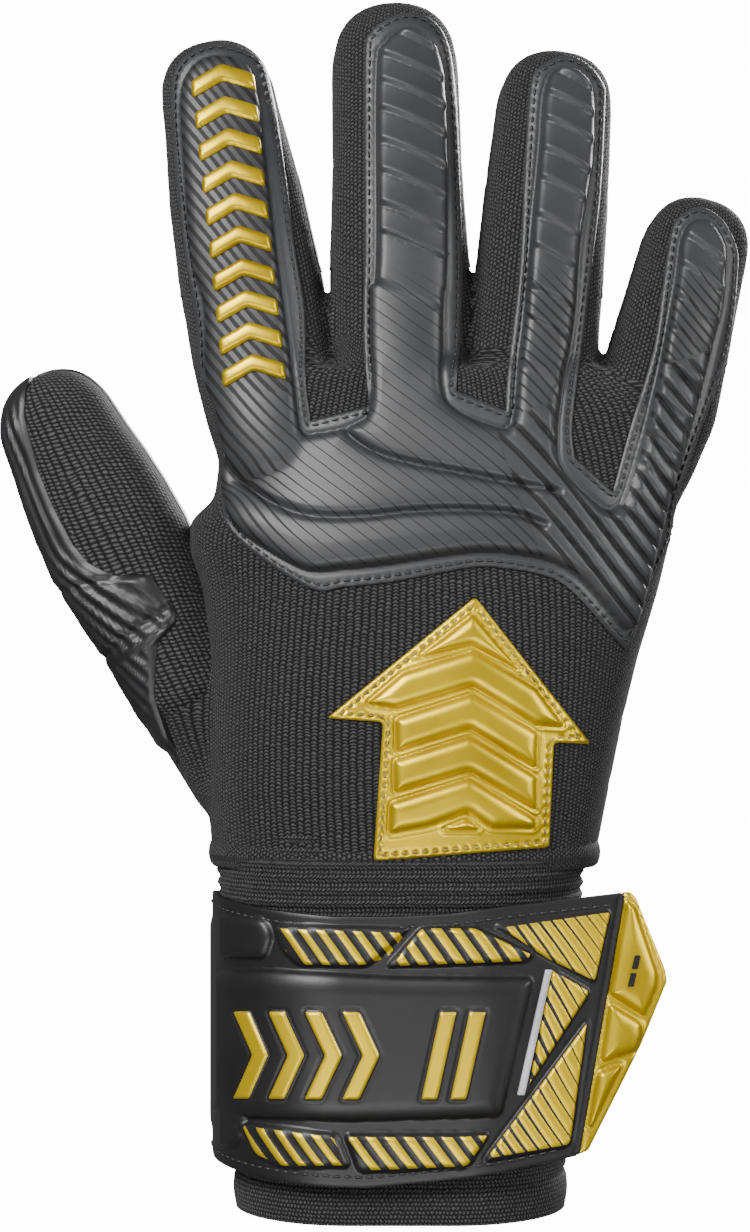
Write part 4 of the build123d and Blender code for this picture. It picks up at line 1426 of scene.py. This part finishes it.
def strap_path():
    """The strap's outer line round the wrist from the palm side: plan points and distance from its hinge."""
    rise = abs(STRAP_FACE_Y) - STRAP_RADIUS
    loop = [(x, -STRAP_FACE_Y) for x in np.arange(WRAP_END_X, CORNER_X, -1.0)]
    for start, cy in ((90, rise), (180, -rise)):
        for a in np.radians(np.linspace(start, start + 90, 60)):
            loop.append((CORNER_X + STRAP_RADIUS * math.cos(a), cy + STRAP_RADIUS * math.sin(a)))
    loop += [(x, STRAP_FACE_Y) for x in np.arange(CORNER_X + 1, END_HINGE[0] - 3, 1.0)]
    for k in np.linspace(0, 1, 9):
        turn = END_TILT * k
        last = loop[-1]
        loop.append((last[0] + 0.75 * math.cos(turn), last[1] + 0.75 * math.sin(turn)))
    last = loop[-1]
    loop += [(last[0] + d * math.cos(END_TILT), last[1] + d * math.sin(END_TILT)) for d in np.arange(1.0, 34, 1.0)]
    loop = np.array(loop)
    along = np.concatenate([[0], np.cumsum(np.linalg.norm(np.diff(loop, axis=0), axis=1))])
    hinge = np.argmin(np.linalg.norm(loop - FRONT_HINGE[:2], axis=1))
    return loop, along - along[hinge]


STRAP_LINE, STRAP_ALONG = strap_path()


def strap_at(a):
    """Plan points and outward normals at distances a along the strap."""
    point = np.stack([np.interp(a, STRAP_ALONG, STRAP_LINE[:, k]) for k in (0, 1)], axis=-1)
    ahead = np.stack([np.interp(a + 0.8, STRAP_ALONG, STRAP_LINE[:, k]) for k in (0, 1)], axis=-1)
    behind = np.stack([np.interp(a - 0.8, STRAP_ALONG, STRAP_LINE[:, k]) for k in (0, 1)], axis=-1)
    tangent = unit(ahead - behind)
    return point, np.stack([tangent[:, 1], -tangent[:, 0]], axis=1)


# Heights of the strap's two edges against distance from its hinge, and the x where it ends.
STRAP_TOP_EDGE = [(-90, 64.5), (-20, 66.5), (0, 68.9), (25, 67.2), (45, 65.9), (59, 65.9), (69, 66.4), (82, 68.0),
                  (109.5, 70.8)]
STRAP_BOTTOM_EDGE = [(-90, 11.0), (-20, 10.6), (0, 11.2), (25, 10.0), (52, 9.0), (68, 10.5), (82, 12.3), (99, 15.6)]
# The strap's outline seen from the front ends on this line, low end first.
END_LINE = [(39.7, 10.4), (49.7, 67.6)]


def front_x(a, seen_x):
    """The seen x along the strap, carried on evenly where the strap turns away from the eye."""
    turn = float(np.interp(-38.0, seen_x[a > 6], a[a > 6]))
    return np.where(a > turn, seen_x, -38.0 - (turn - a))


# Raised fields of the strap in front coordinates: outline, height, radius of the shoulder.
CENTRE_FIELD = [(-47, 50.6), (-30, 51.1), (0, 49.6), (22.4, 49.4), (30.2, 49.4), (23.0, 18.6), (-10, 17.6),
                (-34, 18.2), (-47, 19.4)]
STRAP_FIELDS = [
    (CENTRE_FIELD, 1.9, 4.5),
    ([(-45, 63.6), (-30.5, 62.4), (-28.3, 58.5), (-30.2, 53.2), (-45, 53.6)], 1.3, 2.2),
    ([(-28.8, 61.2), (3.2, 60.4), (-6.6, 51.4), (-22.4, 51.6), (-26.5, 55.0)], 1.2, 2.2),
    ([(5.0, 60.6), (17.6, 60.6), (30.6, 54.8), (28.6, 52.4), (-3.2, 51.3)], 1.2, 2.2),
    ([(-45, 22.0), (-36.0, 21.4), (-34.6, 15.6), (-37.4, 11.4), (-45, 12.0)], 1.3, 2.2),
    ([(-37.0, 17.6), (-13.6, 15.0), (-10.2, 7.2), (-26, 7.0), (-33, 9.6)], 1.2, 2.2),
    ([(-12.2, 15.0), (13, 15.0), (20.8, 15.2), (15.6, 7.0), (-8.8, 6.0)], 1.2, 2.2),
    ([(20.6, 61.0), (47.4, 64.4), (43.8, 47.6), (31.8, 54.2)], 0.7, 1.0),
    ([(34.2, 51.6), (42.9, 46.4), (28.6, 24.4)], 0.7, 1.0),
    ([(42.2, 40.2), (38.3, 11.9), (18.6, 8.4)], 0.7, 1.0),
]
# Striped gold areas: outline, pitch along x in mm, share of gold at the left and at the right.
STRAP_BARS = [
    ([(-27.2, 60.2), (1.8, 59.2), (-2.4, 53.6), (-7.4, 52.2), (-21.6, 52.2), (-25.2, 55.2)], 4.0, 0.42, 0.50),
    ([(5.2, 60.2), (17.0, 60.2), (29.6, 54.4), (28.0, 53.0), (-1.4, 51.9)], 4.2, 0.52, 0.60),
    ([(-35.6, 16.6), (-14.4, 14.2), (-11.4, 8.0), (-26, 7.8), (-32.4, 10.4)], 4.0, 0.42, 0.50),
    ([(-11.2, 14.2), (13, 14.2), (20.0, 14.6), (15.2, 7.8), (-7.8, 6.8)], 4.2, 0.50, 0.60),
    ([(22.9, 60.3), (47.0, 63.8), (43.6, 48.6), (33.0, 53.6)], 2.9, 0.60, 0.93),
    ([(33.9, 51.0), (42.5, 46.2), (29.1, 25.7)], 3.0, 0.58, 0.93),
    ([(41.9, 39.4), (38.1, 12.6), (19.6, 9.4)], 3.0, 0.60, 0.93),
]


def centre_marks():
    """Plain gold chevrons and slanted bars on the strap's centre pad, as front outlines."""
    low, high, lean = 22.6, 42.0, 0.22
    middle = (low + high) / 2
    marks = []
    for k in range(4):
        x = -37.0 + 8.2 * k
        marks.append([(x, low), (x + 3.9, low), (x + 8.4, middle), (x + 3.9, high), (x, high), (x + 4.5, middle)])
    for k in range(2):
        x = 5.0 + 6.4 * k
        top = x + lean * (high - low)
        marks.append([(x, low), (x + 3.7, low), (x + 3.7 + lean * (high - low), high), (top, high)])
    return [rounded(mark, 0.5, 0.5) for mark in marks]


def strap_relief(plane):
    """Height over the strap's flange and the printed gold (phase, share, field) at front coordinates."""
    rise = np.zeros(len(plane))
    for corners, height, radius in STRAP_FIELDS:
        depth = field(plane, rounded(corners, 1.8, 0.6))
        rise = np.maximum(rise, height * pillow(depth, radius)) - 0.25 * dent(depth + 0.25, 0.35)
    prints = np.tile(NO_PRINT, (len(plane), 1))
    for corners, pitch, left, right in STRAP_BARS:
        depth = field(plane, rounded(corners, 0.9, 0.6))
        x, z = plane.T
        phase = (x + 0.46 * z + 0.012 * (z - 35) ** 2 * np.sign(z - 35) * 0.5) / pitch
        low, high = min(c[0] for c in corners), max(c[0] for c in corners)
        share = left + (right - left) * np.clip((x - low) / (high - low), 0, 1)
        near = depth > prints[:, 2]
        prints[near] = np.stack([phase, share, depth], axis=1)[near]
        wave = np.abs(phase % 1 - 0.5)
        rise += 0.28 * (1 - smooth(wave, share * 0.5 - 0.12, share * 0.5 + 0.10)) * smooth(depth, -0.2, 0.5)
    for outline in centre_marks():
        depth = field(plane, outline)
        near = depth > prints[:, 2]
        prints[near] = np.stack([np.full(len(plane), 0.5), np.ones(len(plane)), depth - 0.1], axis=1)[near]
        rise += 0.45 * smooth(depth, -0.1, 0.5) - 0.3 * dent(depth + 0.3, 0.3)
    return rise, prints


def strap_grid(first, last, columns, row_step, inset=0.0):
    """Grid over the strap's face up to last, or to the strap's end where that is None.

    Returns points, outward normals, front coordinates, distances along the strap and the number of rows."""
    share = np.linspace(0, 1, columns)
    ends = [last, last]
    if last is None:
        table_a = np.arange(60.0, STRAP_ALONG[-1], 0.25)
        point, _ = strap_at(table_a)
        view = seen(np.column_stack([point, np.full(len(table_a), 40.0)]))[:, 0]
        ends = [float(np.interp(x - inset, view, table_a)) for x, _ in END_LINE]
    rows = int(STRAP_HEIGHT / row_step)
    a_grid, z_grid = [], []
    for r in np.linspace(0, 1, rows):
        a = first + (ends[0] + (ends[1] - ends[0]) * r - first) * share
        top = np.interp(a, *np.array(STRAP_TOP_EDGE).T) - inset
        bottom = np.interp(a, *np.array(STRAP_BOTTOM_EDGE).T) + inset
        a_grid.append(a)
        z_grid.append(bottom + (top - bottom) * r)
    a, z = np.concatenate(a_grid), np.concatenate(z_grid)
    point, normal = strap_at(a)
    verts = np.column_stack([point, z])
    normals = np.column_stack([normal, np.zeros(len(a))])
    plane = seen(verts)
    if first > -1:
        for r in range(rows):
            row = slice(r * columns, (r + 1) * columns)
            plane[row, 0] = front_x(a_grid[r], plane[row, 0])
    return verts, normals, plane, a, rows


WRAP_FRONT_JOIN = 8.0    # the wrap and the front part meet this far past the hinge
FLANGE_SINK = 1.3        # the strap's flat flange lies this far under its nominal face


def blend_front(obj):
    """Bakes the transform of a piece of the strap's front into its mesh."""
    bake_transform(obj)


def blend_wrap(obj):
    """Bakes the transform of a piece of the strap's wrap into its mesh."""
    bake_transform(obj)


def side_sink(a):
    """The strap draws in a little where it rounds the thumb side, and at its sewn palm end."""
    return 1.3 * smooth(a, -40, -10) * (1 - smooth(a, 18, 46)) + 1.5 * (1 - smooth(a - STRAP_ALONG[0], 3, 18))


def strap():
    """The moulded face and the backing of the strap's front and of its wrap round the palm side."""
    layers = [("strap_front_face", WRAP_FRONT_JOIN - 0.01, None, 250, 0.42, True),
              ("strap_wrap_face", float(STRAP_ALONG[0]), WRAP_FRONT_JOIN, 170, 0.8, False)]
    for name, first, last, columns, row_step, front in layers:
        verts, normals, plane, a, rows = strap_grid(first, last, columns, row_step)
        faces = grid_faces(rows, columns)
        edge = np.tile(np.linspace(0, STRAP_HEIGHT, rows)[:, None], (1, columns)).ravel()
        rim = np.minimum(edge, STRAP_HEIGHT - edge)
        sink = FLANGE_SINK + side_sink(a)
        rise = 0.35 * smooth(rim, -0.6, 0.6) - 0.35 - sink
        prints = np.tile(NO_PRINT, (len(verts), 1))
        if front:
            relief, prints = strap_relief(plane)
            rise += relief
        else:
            rise += 0.9 * pillow(rim - 5.5, 3.0) * smooth(-a, -4, 6) * 0.8
        outer = verts + normals * rise[:, None]
        shading = vertex_normals(outer, faces)
        inner = verts - normals * (sink + STRAP_SHELL)[:, None]
        obj = shell(name, outer, inner, faces, shading, {"print": prints}, MATERIALS["strap"])
        if front:
            blend_front(obj)
            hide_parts("strap_front_shell", "strap_end_shell", "strap_centre_pad")
        else:
            blend_wrap(obj)
            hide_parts("strap_wrap_shell")
        verts, normals, plane, a, rows = strap_grid(first, last, columns // 3, 1.4, inset=0.7)
        sink = FLANGE_SINK + side_sink(a)
        outer = verts - normals * (sink + STRAP_SHELL + 0.02)[:, None]
        inner = outer - normals * STRAP_BACKING
        faces = grid_faces(rows, columns // 3)
        back = shell(name.replace("face", "backing"), outer, inner, faces, normals, {}, MATERIALS["backing"])
        if front:
            blend_front(back)
            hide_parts("strap_front_backing", "strap_end_backing")
        else:
            blend_wrap(back)
            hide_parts("strap_wrap_backing")


def strap_row(name, a, z, blend):
    """Stitches through the strap's face at distances a and heights z."""
    point, normal = strap_at(a)
    normal = np.column_stack([normal, np.zeros(len(a))])
    surface = np.column_stack([point, z]) - normal * (FLANGE_SINK + side_sink(a) - 0.05)[:, None]
    verts, faces, _ = thread_mesh(surface, normal, *STRAP_THREAD)
    obj = make_object(name, verts, faces, materials=(MATERIALS["thread"],))
    blend(obj)


def strap_stitches():
    """Rows of stitches along both edges of the strap, and two across its sewn end."""
    sewn_end = float(STRAP_ALONG[0])
    for label, table, inward, end in (("top", STRAP_TOP_EDGE, -1, 107.0), ("bottom", STRAP_BOTTOM_EDGE, 1, 95.0)):
        for part, first, last, blend in (("wrap", sewn_end + 3, WRAP_FRONT_JOIN, blend_wrap),
                                         ("front", WRAP_FRONT_JOIN, end, blend_front)):
            a = np.arange(first, last, 0.7)
            z = np.interp(a, *np.array(table).T) + inward * 2.2
            strap_row(f"strap_{part}_stitches_{label}", a, z, blend)
    for row, along in (("inner", 2.4), ("outer", 5.4)):
        a = np.full(60, sewn_end + along)
        low, high = (float(np.interp(a[0], *np.array(table).T)) for table in (STRAP_BOTTOM_EDGE, STRAP_TOP_EDGE))
        strap_row(f"strap_wrap_stitches_{row}", a, np.linspace(low + 2.5, high - 2.5, len(a)), blend_wrap)


def end_plane(points, out=0.0):
    """Carries front coordinates onto the flat strap end, out mm in front of its nominal face."""
    normal = np.array([math.sin(END_TILT), -math.cos(END_TILT), 0])
    origin = np.array([END_HINGE[0], END_HINGE[1], 0]) + normal * out
    direction = np.column_stack([points[:, 0], np.zeros(len(points)), points[:, 1]]) - EYE
    share = ((origin - EYE) @ normal) / (direction @ normal)
    return EYE + direction * share[:, None], np.tile(normal, (len(points), 1))


def flat_piece(name, outline, step, height, thickness, material, out):
    """A piece on the flat strap end: height is a function of its front coordinates and distance to its rim."""
    plane, faces = domain(outline, step)
    base, normals = end_plane(plane, out)
    rim = distance_to(plane, outline, closed=True)[0]
    outer = base + normals * height(plane, rim)[:, None]
    shading = vertex_normals(outer, faces)
    return shell(name, outer, base - normals * thickness, faces.tolist(), shading, {}, material)


TAB_OUTLINE = [(39.9, 10.4), (49.8, 68.0), (51.4, 68.2), (52.6, 66.8), (58.9, 51.2), (59.3, 48.6), (53.6, 34.6),
               (42.0, 11.4)]
TAB_FACETS = [
    [(50.3, 66.6), (52.2, 65.2), (57.2, 50.6), (57.0, 47.6), (54.2, 41.0), (46.6, 45.8)],
    [(46.5, 43.9), (53.6, 39.6), (53.6, 36.6), (52.4, 33.4), (44.6, 31.0)],
    [(44.0, 28.8), (49.4, 30.6), (42.6, 16.6), (41.8, 16.6)],
]


def pull_tab():
    """The faceted gold tab, with two short plain bars on it."""
    def height(plane, rim):
        """A rounded edge and the raised facets."""
        rise = 0.5 * pillow(rim, 1.4)
        for facet in TAB_FACETS:
            depth = field(plane, rounded(facet, 0.8, 0.5))
            rise += 1.5 * pillow(depth, 3.4) - 0.35 * dent(depth + 0.2, 0.5)
        return rise

    tab = flat_piece("pull_tab_gold", rounded(TAB_OUTLINE, 0.6, 0.5), 0.45, height, 2.0, MATERIALS["gold"], -0.9)
    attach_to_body(tab, "pull_tab")
    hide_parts("pull_tab")
    for number in range(2):
        low = np.array([50.6 + 0.9 * number, 47.4 + 3.9 * number])
        bar = [low, low + [1.3, 0], low + [2.0, 3.0], low + [0.7, 3.0]]
        mark = flat_piece(f"tab_mark_{number + 1}", rounded(bar, 0.25, 0.4), 0.4,
                          lambda plane, rim: 0.12 + 0 * rim, 0.6, MATERIALS["strap"], 1.15)
        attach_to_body(mark, "pull_tab")


def end_trim():
    """The grey strip beside the gold triangles and the black piping along the strap's end."""
    strip = [(32.6, 51.1), (34.0, 51.1), (27.9, 23.5), (26.4, 23.5)]
    obj = flat_piece("grey_strip", rounded(strip, 0.25, 0.5), 0.5, lambda plane, rim: 0.35 * pillow(rim, 0.5), 0.8,
                     MATERIALS["strip"], -0.55)
    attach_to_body(obj, "strap_end")
    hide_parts("reflective_strip")
    low, high = np.array(END_LINE)
    across = np.array([0.9, 0])
    piping = [low - across, low + across * 0.4, high + across * 0.4, high - across]
    obj = flat_piece("end_piping", rounded(piping, 0.5, 0.5), 0.45, lambda plane, rim: 0.5 * pillow(rim, 0.6), 1.6,
                     MATERIALS["backing"], -0.9)
    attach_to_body(obj, "strap_end")


def closure_patches():
    """The hook and loop patches keep their CAD shape under a bristled finish."""
    for node, material in (("hook_patch", "hook"), ("loop_patch", "loop")):
        for slot in bpy.data.objects[node].material_slots:
            slot.material = MATERIALS[material]


strap()
strap_stitches()
pull_tab()
end_trim()
closure_patches()
